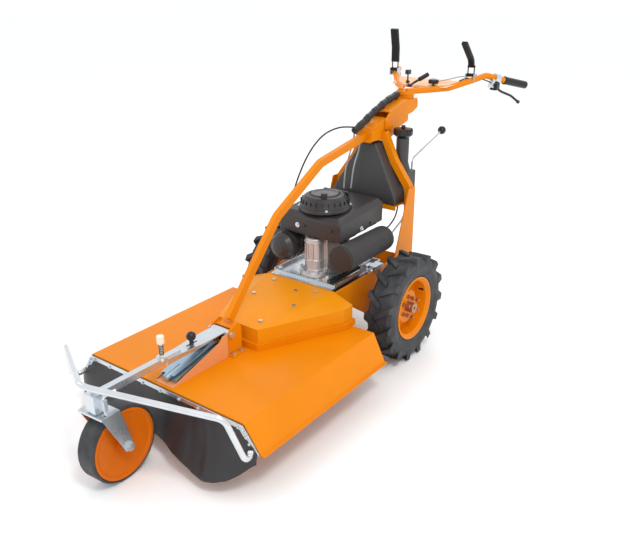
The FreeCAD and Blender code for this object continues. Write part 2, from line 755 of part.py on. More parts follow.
def belt_loop(y_a, radius_a, y_b, radius_b, level, height, thickness):
    """A belt round two pulleys that stand on the middle plane."""

    def loop_face(grow):
        ra, rb = radius_a + grow, radius_b + grow
        lean = math.asin((ra - rb) / (y_b - y_a))
        cos_l, sin_l = math.cos(lean), math.sin(lean)
        a_right = Vector(ra * cos_l, y_a + ra * sin_l, level)
        b_right = Vector(rb * cos_l, y_b + rb * sin_l, level)
        a_left = Vector(-a_right.x, a_right.y, level)
        b_left = Vector(-b_right.x, b_right.y, level)
        edges = [Part.LineSegment(a_right, b_right).toShape(),
                 Part.Arc(b_right, Vector(0, y_b + rb, level), b_left).toShape(),
                 Part.LineSegment(b_left, a_left).toShape(),
                 Part.Arc(a_left, Vector(0, y_a - ra, level), a_right).toShape()]
        return Part.Face(Part.Wire(edges))

    outer = loop_face(thickness).extrude(Vector(0, 0, height))
    inner = loop_face(0).extrude(Vector(0, 0, height))
    return outer.cut(inner)


blade_belt = belt_loop(SPINDLE, 58, CRANK, 42, val("blade_belt_level") - 3, 6, 7)
drive_belt = belt_loop(CRANK, 32, INPUT_Y, 50, val("drive_belt_level") - 3, 6, 7)
node(solid(Part.makeCompound([blade_belt, drive_belt]), "Belts"), "v_belts")

BLADE_IDLER_PIVOT = (112, -300)
DRIVE_IDLER_PIVOT = (118, 10)


def make_idler(pivot, roller, level, roller_radius):
    """A flat arm on a pivot post, with its roller at the far end."""
    px, py = pivot
    rx, ry = roller
    reach = math.hypot(rx - px, ry - py)
    arm = Part.makeBox(reach, 18, 5, Vector(0, -9, 0))
    boss = Part.makeCylinder(13, 5)
    tip = Part.makeCylinder(11, 5, Vector(reach, 0, 0))
    arm = arm.fuse([boss, tip])
    arm = arm.fuse(Part.makeCylinder(roller_radius, 14, Vector(reach, 0, -16)))
    arm = arm.fuse(Part.makeCylinder(5, 6, Vector(reach, 0, -4)))
    arm = arm.cut(Part.makeCylinder(6.05, 40, Vector(0, 0, -20)))
    angle = math.degrees(math.atan2(ry - py, rx - px))
    return placed(arm.removeSplitter(), Placement(Vector(px, py, level), Rotation(Vector(0, 0, 1), angle)))


node(solid(make_idler(BLADE_IDLER_PIVOT, (90, -220), 282, 18), "BladeIdler"), "blade_idler")
node(solid(make_idler(DRIVE_IDLER_PIVOT, (84, -50), 310, 18), "DriveIdler"), "drive_idler")
blade_post = fuse(cylinder(*BLADE_IDLER_PIVOT, TOP, 6, 76), cylinder(*BLADE_IDLER_PIVOT, TOP, 16, 5))
drive_post = fuse(cylinder(*DRIVE_IDLER_PIVOT, 262, 6, 60), box(100, -10, 258, 56, 40, 5))

# Belt adjuster on the near side of the engine frame.
adjuster_block = box(144, -20, FLOOR + 4, 30, 56, 14)
adjuster_screw = cylinder(158, -110, FLOOR + 11, 5, 140, ALONG_Y)
adjuster_nut = hexagon(158, -60, FLOOR + 11, 20, 10, ALONG_Y)
adjuster = fuse(adjuster_block, adjuster_screw, adjuster_nut)
node(group(blade_post, drive_post, adjuster), "belt_adjusters")

# ---------------------------------------------------------------- rear wheels

TYRE_R = val("tyre_radius")
TYRE_W = val("tyre_width")
RIM_R = val("rim_radius")
LUGS = 15
LUG_TAPER = 0.7


def make_tyre():
    """Agricultural tyre with two rows of slanted lugs; its axis is the local Z axis, inner side down."""
    half = TYRE_W / 2
    carcass = [(RIM_R + 1, -half + 14), (RIM_R + 14, -half + 6), (RIM_R + 44, -half), (TYRE_R - 24, -half + 3),
               (TYRE_R - 12, -half + 16), (TYRE_R - 9, 0), (TYRE_R - 12, half - 16), (TYRE_R - 24, half - 3),
               (RIM_R + 44, half), (RIM_R + 14, half - 6), (RIM_R + 1, half - 14)]
    face = polygon_face([(r, 0, z) for r, z in carcass])
    tyre = face.revolve(Vector(0, 0, 0), Vector(0, 0, 1), 360)
    low, high = TYRE_R - 34, TYRE_R + 6
    foot = [(low, -15, -half + 1), (high, -12, -half + 1), (high, 12, -half + 1), (low, 15, -half + 1)]
    head = [(high - LUG_TAPER * (high - r), LUG_TAPER * y + 0.72 * half, 6) for r, y, z in foot]
    lug = frustum(foot, head)
    crown = Part.makeCylinder(TYRE_R, 200, Vector(0, 0, -100))
    lug = lug.common(crown)
    other = lug.mirror(Vector(0, 0, 0), Vector(0, 0, 1))
    pieces = []
    for i in range(LUGS):
        for piece, phase in ((lug, 0), (other, 0.5)):
            copy = piece.copy()
            copy.rotate(Vector(0, 0, 0), Vector(0, 0, 1), (i + phase) * 360 / LUGS)
            pieces.append(copy)
    return tyre.fuse(pieces)


RIM_OUTLINE = [(20, 8), (60, 8), (82, -10), (100, -16), (104, -34), (116, -46), (122, -46), (122, -42),
               (116.5, -38), (108, -30), (108, 30), (116.5, 38), (122, 42), (122, 46), (116, 46),
               (104, 34), (100, -8), (84, -4), (62, 14), (20, 14)]


def make_rim():
    """Dished steel rim with a valve slot and six bolt holes."""
    face = polygon_face([(r, 0, z) for r, z in RIM_OUTLINE])
    rim = face.revolve(Vector(0, 0, 0), Vector(0, 0, 1), 360)
    holes = [Part.makeCylinder(5.5, 60, Vector(x, y, -20))
             for x, y in ring_of(6, val("hub_bolt_circle") / 2)]
    slot = Part.makeBox(9, 30, 60, Vector(66, -15, -30))
    return rim.cut(holes + [slot])


def make_hub():
    """Half shaft with its wheel flange, centring nose and bolts."""
    shaft = Part.makeCylinder(val("axle_radius"), 250, Vector(0, 0, -250))
    flange = Part.makeCylinder(54, 7.8, Vector(0, 0, 0))
    nose = Part.makeCylinder(19.8, 44, Vector(0, 0, 0))
    bolts = [Part.makeCylinder(5, 40, Vector(x, y, 2)) for x, y in ring_of(6, val("hub_bolt_circle") / 2)]
    heads = []
    for x, y in ring_of(6, val("hub_bolt_circle") / 2):
        hexagonal = [Vector(x + 8.5 * c, y + 8.5 * s, 14.2) for c, s in ring_of(6, 1)]
        heads.append(Part.Face(Part.makePolygon(hexagonal + hexagonal[:1])).extrude(Vector(0, 0, 8)))
    bore = Part.makeCylinder(6, 30, Vector(0, 0, 20))
    return shaft.fuse([flange, nose] + bolts + heads).cut(bore).removeSplitter()


TYRE_MIDDLE = val("tyre_inner") + TYRE_W / 2
tyre_shape = make_tyre()
rim_shape = make_rim()
hub_shape = make_hub()
FACING_LEFT = Rotation(Vector(0, 1, 0), 90)
FACING_RIGHT = Rotation(Vector(0, 1, 0), -90)
for side, sign, facing in (("left", 1, FACING_LEFT), ("right", -1, FACING_RIGHT)):
    middle = at(sign * TYRE_MIDDLE, 0, AXLE, facing)
    node(solid(rim_shape, "Rim"), "rim_" + side, middle)
    node(solid(tyre_shape, "Tyre"), "tyre_" + side, middle)
    node(solid(hub_shape, "Hub"), "hub_" + side, middle)

# ---------------------------------------------------------------- caster arm, fork and wheel

CASTER_Y = val("caster_y")
CASTER_TURN = val("caster_turn")
HEAD_LOW = 256
HEAD_HIGH = 312
KINGPIN = val("kingpin_radius")


RELEASE_Y = -819


def make_arm():
    """Square bar with the caster sleeve at its front and a fanned plate to the pivot tube."""
    bar = Part.makeBox(22, 300, 22, Vector(-11, CASTER_Y + 10, 289))
    sleeve = Part.makeBox(40, 40, HEAD_HIGH - HEAD_LOW, Vector(-20, CASTER_Y - 20, HEAD_LOW))
    fan = [(-12, -950, 300), (12, -950, 300), (30, -790, 300), (30, PIVOT_Y, 300), (-30, PIVOT_Y, 300), (-30, -790, 300)]
    fan = polygon_face(fan).extrude(Vector(0, 0, 4))
    ribs = [Part.makeBox(4, 240, 22, Vector(x, -932, 282)) for x in (-12, 8)]
    tube = Part.makeCylinder(14, 74, Vector(-37, PIVOT_Y, PIVOT_Z), Vector(1, 0, 0))
    post_seat = Part.makeCylinder(17, 10, Vector(0, -940, 304))
    body = bar.fuse([sleeve, fan, tube, post_seat] + ribs)
    kingpin_bore = Part.makeCylinder(KINGPIN + val("running_gap"), 60, Vector(0, CASTER_Y, HEAD_LOW - 4))
    pivot_bore = Part.makeCylinder(8.05, 100, Vector(-50, PIVOT_Y, PIVOT_Z), Vector(1, 0, 0))
    pin_bore = Part.makeCylinder(5.05, 60, Vector(0, -940, 270))
    lever_slot = Part.makeBox(7, 46, 40, Vector(-3.5, -842, 280))
    body = body.cut([kingpin_bore, pivot_bore, pin_bore, lever_slot])
    lever_pin = Part.makeCylinder(3, 20, Vector(-10, RELEASE_Y, 288), Vector(1, 0, 0))
    body = body.fuse(lever_pin)
    lug = Part.makeBox(26, 12, 34, Vector(20, CASTER_Y - 6, 268))
    lug_bore = Part.makeCylinder(5.05, 60, Vector(38, CASTER_Y, 250))
    return body.fuse(lug).cut(lug_bore).removeSplitter()


node(solid(make_arm(), "Arm"), "caster_arm")

# The fork is drawn about its own kingpin axis and then turned a little, as the wheel stands.
TRAIL = val("caster_trail")
CASTER_R = val("caster_radius")
CASTER_HALF = val("caster_width") / 2
FORK_GAP = 12


def make_fork():
    inner = CASTER_HALF + FORK_GAP
    crown = Part.makeBox(2 * inner + 8, 64, 6, Vector(-inner - 4, -26, 246))
    leg = [(-26, 252), (38, 252), (TRAIL + 16, CASTER_R + 6), (TRAIL + 6, CASTER_R - 17),
           (TRAIL - 12, CASTER_R - 13)]
    cheek = side_plate(leg, inner, inner + 4)
    kingpin = Part.makeCylinder(KINGPIN, 74, Vector(0, 0, 250))
    collar = Part.makeCylinder(17, 3.6, Vector(0, 0, 252))
    fork = crown.fuse(both_sides(cheek) + [kingpin, collar])
    axle_hole = Part.makeCylinder(8, 200, Vector(-100, TRAIL, CASTER_R), Vector(1, 0, 0))
    turn = math.radians(-CASTER_TURN)
    lock_hole = Part.makeCylinder(5.6, 20, Vector(38 * math.cos(turn), 38 * math.sin(turn), 240))
    return fork.cut([axle_hole, lock_hole]).removeSplitter()


def make_caster_disc():
    """Dished wheel disc with its hub tube; the axis is the local X axis."""
    outline = [(9, -34), (20, -34), (20, 8), (60, 14), (98, 20), (104, 26), (104, -28), (109.6, -28),
               (109.6, 32), (102, 32), (94, 27), (58, 20), (20, 14), (20, 30), (9, 30)]
    face = polygon_face([(x, r, 0) for r, x in outline])
    return face.revolve(Vector(0, 0, 0), Vector(1, 0, 0), 360)


def make_caster_tyre():
    half = CASTER_HALF
    outline = [(109.8, -half + 3), (113, -half), (CASTER_R - 3, -half + 1), (CASTER_R, -half + 6), (CASTER_R, half - 6),
               (CASTER_R - 3, half - 1), (113, half), (109.8, half - 3)]
    face = polygon_face([(x, r, 0) for r, x in outline])
    return face.revolve(Vector(0, 0, 0), Vector(1, 0, 0), 360)


caster_place = at(0, CASTER_Y, 0, Rotation(Vector(0, 0, 1), CASTER_TURN))
wheel_place = caster_place.multiply(Placement(Vector(0, TRAIL, CASTER_R), Rotation()))
node(solid(make_caster_disc(), "CasterDisc"), "caster_wheel", wheel_place)
node(solid(make_caster_tyre(), "CasterTyre"), "caster_tyre", wheel_place)


def make_caster_axle():
    half = CASTER_HALF + FORK_GAP + 4
    pin = Part.makeCylinder(8, 2 * half + 20, Vector(-half - 10, 0, 0), Vector(1, 0, 0))
    spacers = [Part.makeCylinder(14, 10.5, Vector(x, 0, 0), Vector(1, 0, 0)) for x in (half - 15, -half + 4.5)]
    nuts = []
    for x in (half, -half - 9):
        corners = [Vector(x, c, s) for c, s in ring_of(6, 14)]
        nuts.append(Part.Face(Part.makePolygon(corners + corners[:1])).extrude(Vector(9, 0, 0)))
    return pin.fuse(spacers + nuts).removeSplitter()


axle_in_fork = make_caster_axle()
axle_in_fork.translate(Vector(0, TRAIL, CASTER_R))
node(solid(Part.makeCompound([make_fork(), axle_in_fork]), "Fork"), "caster_fork", caster_place)


def make_plunger():
    """Swivel lock: a pin with a cranked handle, parked just above its hole in the fork."""
    return round_tube([(38, CASTER_Y, 255), (38, CASTER_Y, 312), (50, CASTER_Y + 34, 320)], [9], 5)


node(solid(make_plunger(), "Plunger"), "swivel_plunger")
height_pin = fuse(cylinder(0, -940, 286, 5, 86), cylinder(0, -940, 358, 11, 24), cylinder(0, -940, 314.2, 9, 4))
node(height_pin, "height_pin")


def make_release_lever():
    """Flat stem through the arm's slot with a round ball on top."""
    stem = Part.makeBox(5, 14, 34, Vector(-2.5, RELEASE_Y - 7, 288))
    ball = Part.makeSphere(15, Vector(0, RELEASE_Y, 330))
    eye = Part.makeCylinder(8, 5, Vector(-2.5, RELEASE_Y, 288), Vector(1, 0, 0))
    bore = Part.makeCylinder(3.05, 20, Vector(-10, RELEASE_Y, 288), Vector(1, 0, 0))
    return stem.fuse([ball, eye]).cut(bore).removeSplitter()


node(solid(make_release_lever(), "ReleaseLever"), "release_lever")

# ---------------------------------------------------------------- handlebar riser and handlebar

SWIVEL_Y = val("swivel_y")
SWIVEL_Z = val("swivel_level")
RISER_HALF = 43


def make_riser():
    """Two cheeks that straddle the head, closed to a box behind it."""
    cheek_outline = [(236, 846), (268, 872), (400, 904), (478, 904), (486, 892), (486, 866), (448, 850),
                     (412, 846), (410, 820), (330, 802), (262, 796), (240, 812)]
    cheek = side_plate(cheek_outline, HEAD_HALF + 1, RISER_HALF)
    core = side_plate([(352, 808), (408, 822), (414, 848), (448, 852), (484, 868), (484, 900), (400, 900), (352, 890)],
                      -HEAD_HALF - 1, HEAD_HALF + 1)
    cap = polygon_face([(-RISER_HALF, 268, 872), (RISER_HALF, 268, 872), (RISER_HALF, 400, 904),
                        (-RISER_HALF, 400, 904)]).extrude(Vector(0, 0, 4))
    turret = Part.makeCylinder(36, 22, Vector(0, SWIVEL_Y, SWIVEL_Z - 22.4))
    body = core.fuse(both_sides(cheek) + [cap, turret])
    pin = Part.makeCylinder(8, 2 * RISER_HALF + 16, Vector(-RISER_HALF - 8, HEIGHT_Y, HEIGHT_Z), Vector(1, 0, 0))
    knobs = [Part.makeCylinder(15, 8, Vector(x, HEIGHT_Y, HEIGHT_Z), Vector(1, 0, 0))
             for x in (RISER_HALF, -RISER_HALF - 8)]
    spigot_bore = Part.makeCylinder(12.05, 40, Vector(0, SWIVEL_Y, SWIVEL_Z - 30))
    return body.fuse([pin] + knobs).cut(spigot_bore).removeSplitter()


node(solid(make_riser(), "Riser"), "handlebar_riser")

BAR_PATH = [(14, 438, 932), (60, 530, 931), (124, 600, 936), (193, 700, 966), (214, 762, 978), (262, 822, 958),
            (282, 856, 949)]
BAR_BENDS = [60, 60, 50, 40, 60]
GRIP_START = (268, 832, 955)
GRIP_END = (324, 940, 928)


def make_handlebar():
    """Hub disc on the riser's turret, two bent arms and the sheet that ties them."""
    arms = both_sides(round_tube(BAR_PATH, BAR_BENDS, val("bar_tube")))
    hub = Part.makeCylinder(38, 16, Vector(0, SWIVEL_Y, SWIVEL_Z))
    spigot = Part.makeCylinder(12, 24, Vector(0, SWIVEL_Y, SWIVEL_Z - 24))
    sheet = frustum([(-88, 540, 934), (88, 540, 934), (140, 630, 946), (-140, 630, 946)],
                    [(-88, 540, 937), (88, 540, 937), (140, 630, 949), (-140, 630, 949)])
    return hub.fuse(arms + [spigot, sheet]).removeSplitter()


node(solid(make_handlebar(), "Handlebar"), "handlebar")


def make_grip():
    start, end = Vector(*GRIP_START), Vector(*GRIP_END)
    along = end - start
    sleeve = Part.makeCylinder(val("grip_radius"), along.Length, start, along)
    return sleeve


grips = Part.makeCompound(both_sides(make_grip()))
bar_shape = make_handlebar()
node(solid(grips.cut(bar_shape), "Grips"), "grips")

# ---------------------------------------------------------------- levers and controls

DRIVE_FOOT = (178, 690, 984)
BLADE_FOOT = (-192, 690, 984)


def make_dead_man_lever(foot, width, bends):
    """Bail of bent wire on a pivot barrel, carrying a flat hand grip; bends are (back, up) from the pivot."""
    x, y, z = foot
    barrel = Part.makeCylinder(7, 34, Vector(x - 17, y, z), Vector(1, 0, 0))
    wires = [Part.makeCylinder(2.5, 40, Vector(x + dx, y, z), Vector(0, 0, 1)) for dx in (-14, 14)]
    bridge = Part.makeBox(33, 8, 6, Vector(x - 16.5, y - 4, z + 32))
    grip = square_tube([(x, y - back, z + up) for back, up in bends], [40], 13, width)
    lever = grip.fuse([barrel, bridge] + wires)
    return lever.cut(Part.makeCylinder(4.05, 60, Vector(x - 30, y, z), Vector(1, 0, 0)))


def make_lever_mount(foot):
    """Folded bracket on the bar with the pivot pin of one hand lever."""
    x, y, z = foot
    ears = [Part.makeBox(3, 24, 30, Vector(x + dx, y - 12, z - 24)) for dx in (-21, 18)]
    base = Part.makeBox(42, 24, 4, Vector(x - 21, y - 12, z - 26))
    pin = Part.makeCylinder(4, 42, Vector(x - 21, y, z), Vector(1, 0, 0))
    return base.fuse(ears + [pin]).removeSplitter()


drive_lever = make_dead_man_lever(DRIVE_FOOT, 24, [(0, 32), (7, 62), (84, 135)])
blade_lever = make_dead_man_lever(BLADE_FOOT, 34, [(0, 32), (1, 92), (18, 172)])
node(solid(drive_lever, "DriveLever"), "drive_lever")
node(solid(blade_lever, "BladeLever"), "blade_lever")

# The brake lever swings in the plane of the left grip; its own X runs along the lever, Z along the pin.
BRAKE_PIVOT = Vector(246, 790, 930)
BRAKE_REACH = Vector(70, 112, -72)
GRIP_AXIS = Vector(*GRIP_END) - Vector(*GRIP_START)
BRAKE_PLACE = Placement(BRAKE_PIVOT, Rotation(BRAKE_REACH, Vector(0, 0, 0), BRAKE_REACH.cross(GRIP_AXIS), "XZY"))


def make_brake_lever():
    """Hand lever below the left grip, with a ball at its tip."""
    blade = round_tube([(0, 0, 0), (42, -2, 0), (100, 6, 0), (148, 0, 0)], [60, 60], 5)
    eye = Part.makeCylinder(10, 12, Vector(0, 0, -6))
    lever = blade.fuse([eye, Part.makeSphere(8, Vector(148, 0, 0))])
    return placed(lever.cut(Part.makeCylinder(4.05, 60, Vector(0, 0, -30))), BRAKE_PLACE)


def make_brake_perch():
    """Forked block clamped under the bar, with the lever's pin and the cable stop."""
    cheeks = [Part.makeBox(26, 24, 4, Vector(-13, -12, low)) for low in (-10.5, 6.5)]
    block = Part.makeBox(14, 36, 21, Vector(-27, -12, -10.5))
    pin = Part.makeCylinder(4, 21, Vector(0, 0, -10.5))
    clamp = Part.makeCylinder(20, 26, Vector(240, 792, 966), GRIP_AXIS)
    perch = placed(block.fuse(cheeks + [pin]), BRAKE_PLACE).fuse(clamp)
    return perch.cut(bar_shape).removeSplitter()


node(solid(make_brake_lever(), "BrakeLever"), "brake_lever")
mounts = [make_lever_mount(foot).cut(bar_shape) for foot in (DRIVE_FOOT, BLADE_FOOT)]
node(solid(Part.makeCompound(mounts + [make_brake_perch()]), "LeverMounts"), "lever_mounts")

# Throttle, swivel release and star knob on the tie sheet.
throttle_barrel = cylinder(-66, 577, 950, 6, 12, ALONG_X)
throttle_stem = box(-62, 573, 950, 3, 8, 36)
throttle_knob = box(-68, 566, 982, 15, 24, 18)
node(fuse(throttle_barrel, throttle_stem, throttle_knob), "throttle_lever")
swivel_lever = round_tube([(10, 470, 952), (10, 498, 958), (34, 560, 984)], [20], 5)
swivel_grip = Part.makeCylinder(9, 48, Vector(21.9, 528.7, 970.9), Vector(12.1, 31.3, 13.1))
swivel_eye = Part.makeCylinder(6, 16, Vector(2, 470, 952), Vector(1, 0, 0))
node(solid(swivel_lever.fuse([swivel_grip, swivel_eye]), "SwivelLever"), "swivel_release")
star_outline = [(0, 0), (5, 0), (5, 12), (18, 12), (21, 18), (18, 26), (8, 29), (0, 29)]
node(turned_body(star_outline, at(64, 576, 943.2)), "star_knob")

# Gear lever: a thin rod up from the gearbox selector to a ball behind the tank.
GEAR_BALL = (85, 640, 749)
GEAR_PATH = [(62, 102, 244), (62, 102, 290), (96, 310, 430), (92, 376, 560), (86, 386, 671), GEAR_BALL]


def make_gear_lever():
    rod = round_tube(GEAR_PATH, [20, 60, 60, 30], 4)
    return rod.fuse(Part.makeSphere(17, Vector(*GEAR_BALL)))


node(solid(make_gear_lever(), "GearLever"), "gear_lever")

# Recoil starter grip.
grip_cord = cylinder(*STARTER_GRIP, 592, 3, 34)
grip_handle = cylinder(*STARTER_GRIP, 612, 8.5, 20)
grip_cap = cylinder(*STARTER_GRIP, 630.4, 12, 12)
node(fuse(grip_cord, grip_handle, grip_cap), "starter_grip")

# ---------------------------------------------------------------- control cables

FRONT_SLEEVE = [(-6, 92, 824), (-6, 140, 842), (-6, 190, 863), (-6, 236, 880)]
REAR_SLEEVE = [(-6, 266, 890), (-6, 310, 905), (-6, 354, 915), (-6, 398, 923)]
THROTTLE_CABLE = [(-10, 92, 836), (-18, 40, 846), (-26, -14, 846), (-38, -66, 832), (-48, -112, 800),
                  (-60, -148, 752), (-76, -164, 700), (-94, -170, 648), (-108, -168, 604), (-112, -164, 582)]
DOWN_CABLE_A = [(-26, 118, 812), (-30, 118, 770), (-44, 112, 722), (-54, 104, 672), (-58, 100, 622), (-58, 98, 588)]
DOWN_CABLE_B = [(-14, 140, 770), (-20, 146, 740), (-30, 136, 700), (-34, 126, 660), (-34, 118, 620), (-34, 112, 588)]
SIDE_CABLE = [(128, 210, 528), (132, 200, 500), (134, 170, 470), (128, 130, 446), (112, 104, 430)]


def make_engine_cables():
    tubes = [cable(path, 3) for path in
             (THROTTLE_CABLE, DOWN_CABLE_A, DOWN_CABLE_B, SIDE_CABLE)]
    return Part.makeCompound(tubes)


engine_cables = Part.makeCompound([make_engine_cables(), cable(FRONT_SLEEVE, 13)])
node(solid(engine_cables, "EngineCables"), "engine_cables")
node(solid(cable(REAR_SLEEVE, 13), "RearSleeve"), "rear_sleeve")

# Screws that hold the belt cover, strut foot and caster arm pin.
cover_screws = []
for x, y in ((60, -560), (-60, -560), (92, -420), (-92, -420), (96, -300), (-96, -300), (30, -330)):
    level = COVER_WAIST + 0.6 + (y - COVER_FRONT) * (COVER_RIDGE - COVER_WAIST) / (COVER_REAR - COVER_FRONT)
    cover_screws.append(hexagon(x, y, level, 13, 5))
foot_screws = [hexagon(x, y, TOP + 4, 16, 7) for x in (-52, 52) for y in (-686, -650)]
pivot_pin = cylinder(-42, PIVOT_Y, PIVOT_Z, 8, 84, ALONG_X)
pivot_heads = [hexagon(x, PIVOT_Y, PIVOT_Z, 20, 8, ALONG_X) for x in (-50, 42)]
leg_screws = [hexagon(sx, y, 306, 18, 8, ALONG_X) for sx in (183, -191) for y in (170, 225)]
node(group(*cover_screws, *foot_screws, fuse(pivot_pin, *pivot_heads), *leg_screws), "frame_screws")

doc.recompute()

failed = [i.Name for i in doc.Objects if "Invalid" in i.State or "Error" in i.State]
if failed:
    raise RuntimeError("objects that failed to build: " + ", ".join(failed))
os.makedirs("parts", exist_ok=True)
for item in NODES:
    shape = item.Shape
    if shape.isNull() or not shape.isValid() or not shape.Solids:
        raise RuntimeError("bad shape: " + item.Label)
    shape.exportStep(f"parts/{item.Label}.step")
overall = FreeCAD.BoundBox()
for item in NODES:
    overall.add(item.Shape.BoundBox)
print(len(NODES), "sub-parts; overall", overall)
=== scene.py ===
import bmesh
import bpy
import json
import math
from mathutils import Matrix, Vector

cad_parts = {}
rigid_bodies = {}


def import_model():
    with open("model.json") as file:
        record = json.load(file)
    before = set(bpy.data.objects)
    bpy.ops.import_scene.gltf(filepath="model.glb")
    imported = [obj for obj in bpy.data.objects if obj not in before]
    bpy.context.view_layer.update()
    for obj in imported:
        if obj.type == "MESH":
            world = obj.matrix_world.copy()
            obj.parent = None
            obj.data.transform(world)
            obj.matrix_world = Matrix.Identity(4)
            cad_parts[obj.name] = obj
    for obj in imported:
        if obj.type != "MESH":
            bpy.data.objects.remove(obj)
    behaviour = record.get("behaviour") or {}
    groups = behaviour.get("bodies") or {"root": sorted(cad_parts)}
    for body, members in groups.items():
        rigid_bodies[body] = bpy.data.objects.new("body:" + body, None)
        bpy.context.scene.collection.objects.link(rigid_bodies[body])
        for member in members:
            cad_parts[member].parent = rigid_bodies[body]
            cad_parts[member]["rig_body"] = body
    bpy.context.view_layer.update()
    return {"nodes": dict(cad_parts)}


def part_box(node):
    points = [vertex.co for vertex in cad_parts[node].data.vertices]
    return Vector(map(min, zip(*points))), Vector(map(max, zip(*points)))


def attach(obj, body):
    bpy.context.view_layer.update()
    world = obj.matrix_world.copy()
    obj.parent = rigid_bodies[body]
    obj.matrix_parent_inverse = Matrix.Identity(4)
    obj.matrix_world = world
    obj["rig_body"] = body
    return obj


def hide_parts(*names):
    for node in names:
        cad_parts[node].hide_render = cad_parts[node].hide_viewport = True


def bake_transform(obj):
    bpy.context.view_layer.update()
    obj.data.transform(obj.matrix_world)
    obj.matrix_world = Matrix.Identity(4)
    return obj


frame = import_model()


def middle(node):
    low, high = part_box(node)
    return (low + high) / 2


def body_of(node):
    """The moving body that a CAD node belongs to."""
    return frame["nodes"][node]["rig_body"]


# Millimetres from the ground point under the rear axle, as the frame was laid out.
AXLE_Y = middle("tyre_left").y


def at(x, y, z):
    return Vector((x / 1000, AXLE_Y + y / 1000, z / 1000))


def around(count):
    """Angles of evenly spaced places round a circle."""
    return [2 * math.pi * i / count for i in range(count)]


# ---------------------------------------------------------------- camera, light and floor

def make_camera():
    """The camera stands in front of the machine's left side, a little above it."""
    data = bpy.data.cameras.new("Camera")
    data.lens = 39.19
    data.sensor_width = 36
    camera = bpy.data.objects.new("Camera", data)
    bpy.context.scene.collection.objects.link(camera)
    camera.location = (1.47417, -1.98898, 1.35359)
    forward = Vector((-0.5459, 0.7433, -0.3866))
    camera.rotation_euler = forward.to_track_quat("-Z", "Y").to_euler()
    bpy.context.scene.camera = camera


def make_light(name, place, target, size, power, colour=(1, 1, 1)):
    data = bpy.data.lights.new(name, "AREA")
    data.shape = "DISK"
    data.size = size
    data.energy = power
    data.color = colour
    lamp = bpy.data.objects.new(name, data)
    bpy.context.scene.collection.objects.link(lamp)
    lamp.location = place
    lamp.rotation_euler = (Vector(target) - Vector(place)).to_track_quat("-Z", "Y").to_euler()


def make_stage():
    world = bpy.data.worlds.new("Studio")
    bpy.context.scene.world = world
    world.use_nodes = True
    world.node_tree.nodes["Background"].inputs["Color"].default_value = (0.98, 0.99, 1.0, 1)
    world.node_tree.nodes["Background"].inputs["Strength"].default_value = 1.06
    make_light("Key", (2.2, -1.6, 3.8), (0, 0, 0.4), 0.9, 55, (1, 0.99, 0.96))
    make_light("Fill", (-3.4, -1.8, 2.6), (0, 0, 0.5), 2.4, 10)
    make_light("Rim", (-1.0, 3.4, 3.2), (0, 0, 0.6), 2.0, 25)
    bpy.context.scene.view_settings.view_transform = "Standard"
    bpy.ops.mesh.primitive_plane_add(size=60, location=(0, 0, -0.0005))
    floor = bpy.context.object
    floor.name = "Floor"
    paper = bpy.data.materials.new("Paper")
    paper.use_nodes = True
    shader = paper.node_tree.nodes["Principled BSDF"]
    shader.inputs["Base Color"].default_value = (0.95, 0.95, 0.95, 1)
    shader.inputs["Roughness"].default_value = 0.9
    floor.data.materials.append(paper)


make_camera()
make_stage()

# ---------------------------------------------------------------- materials


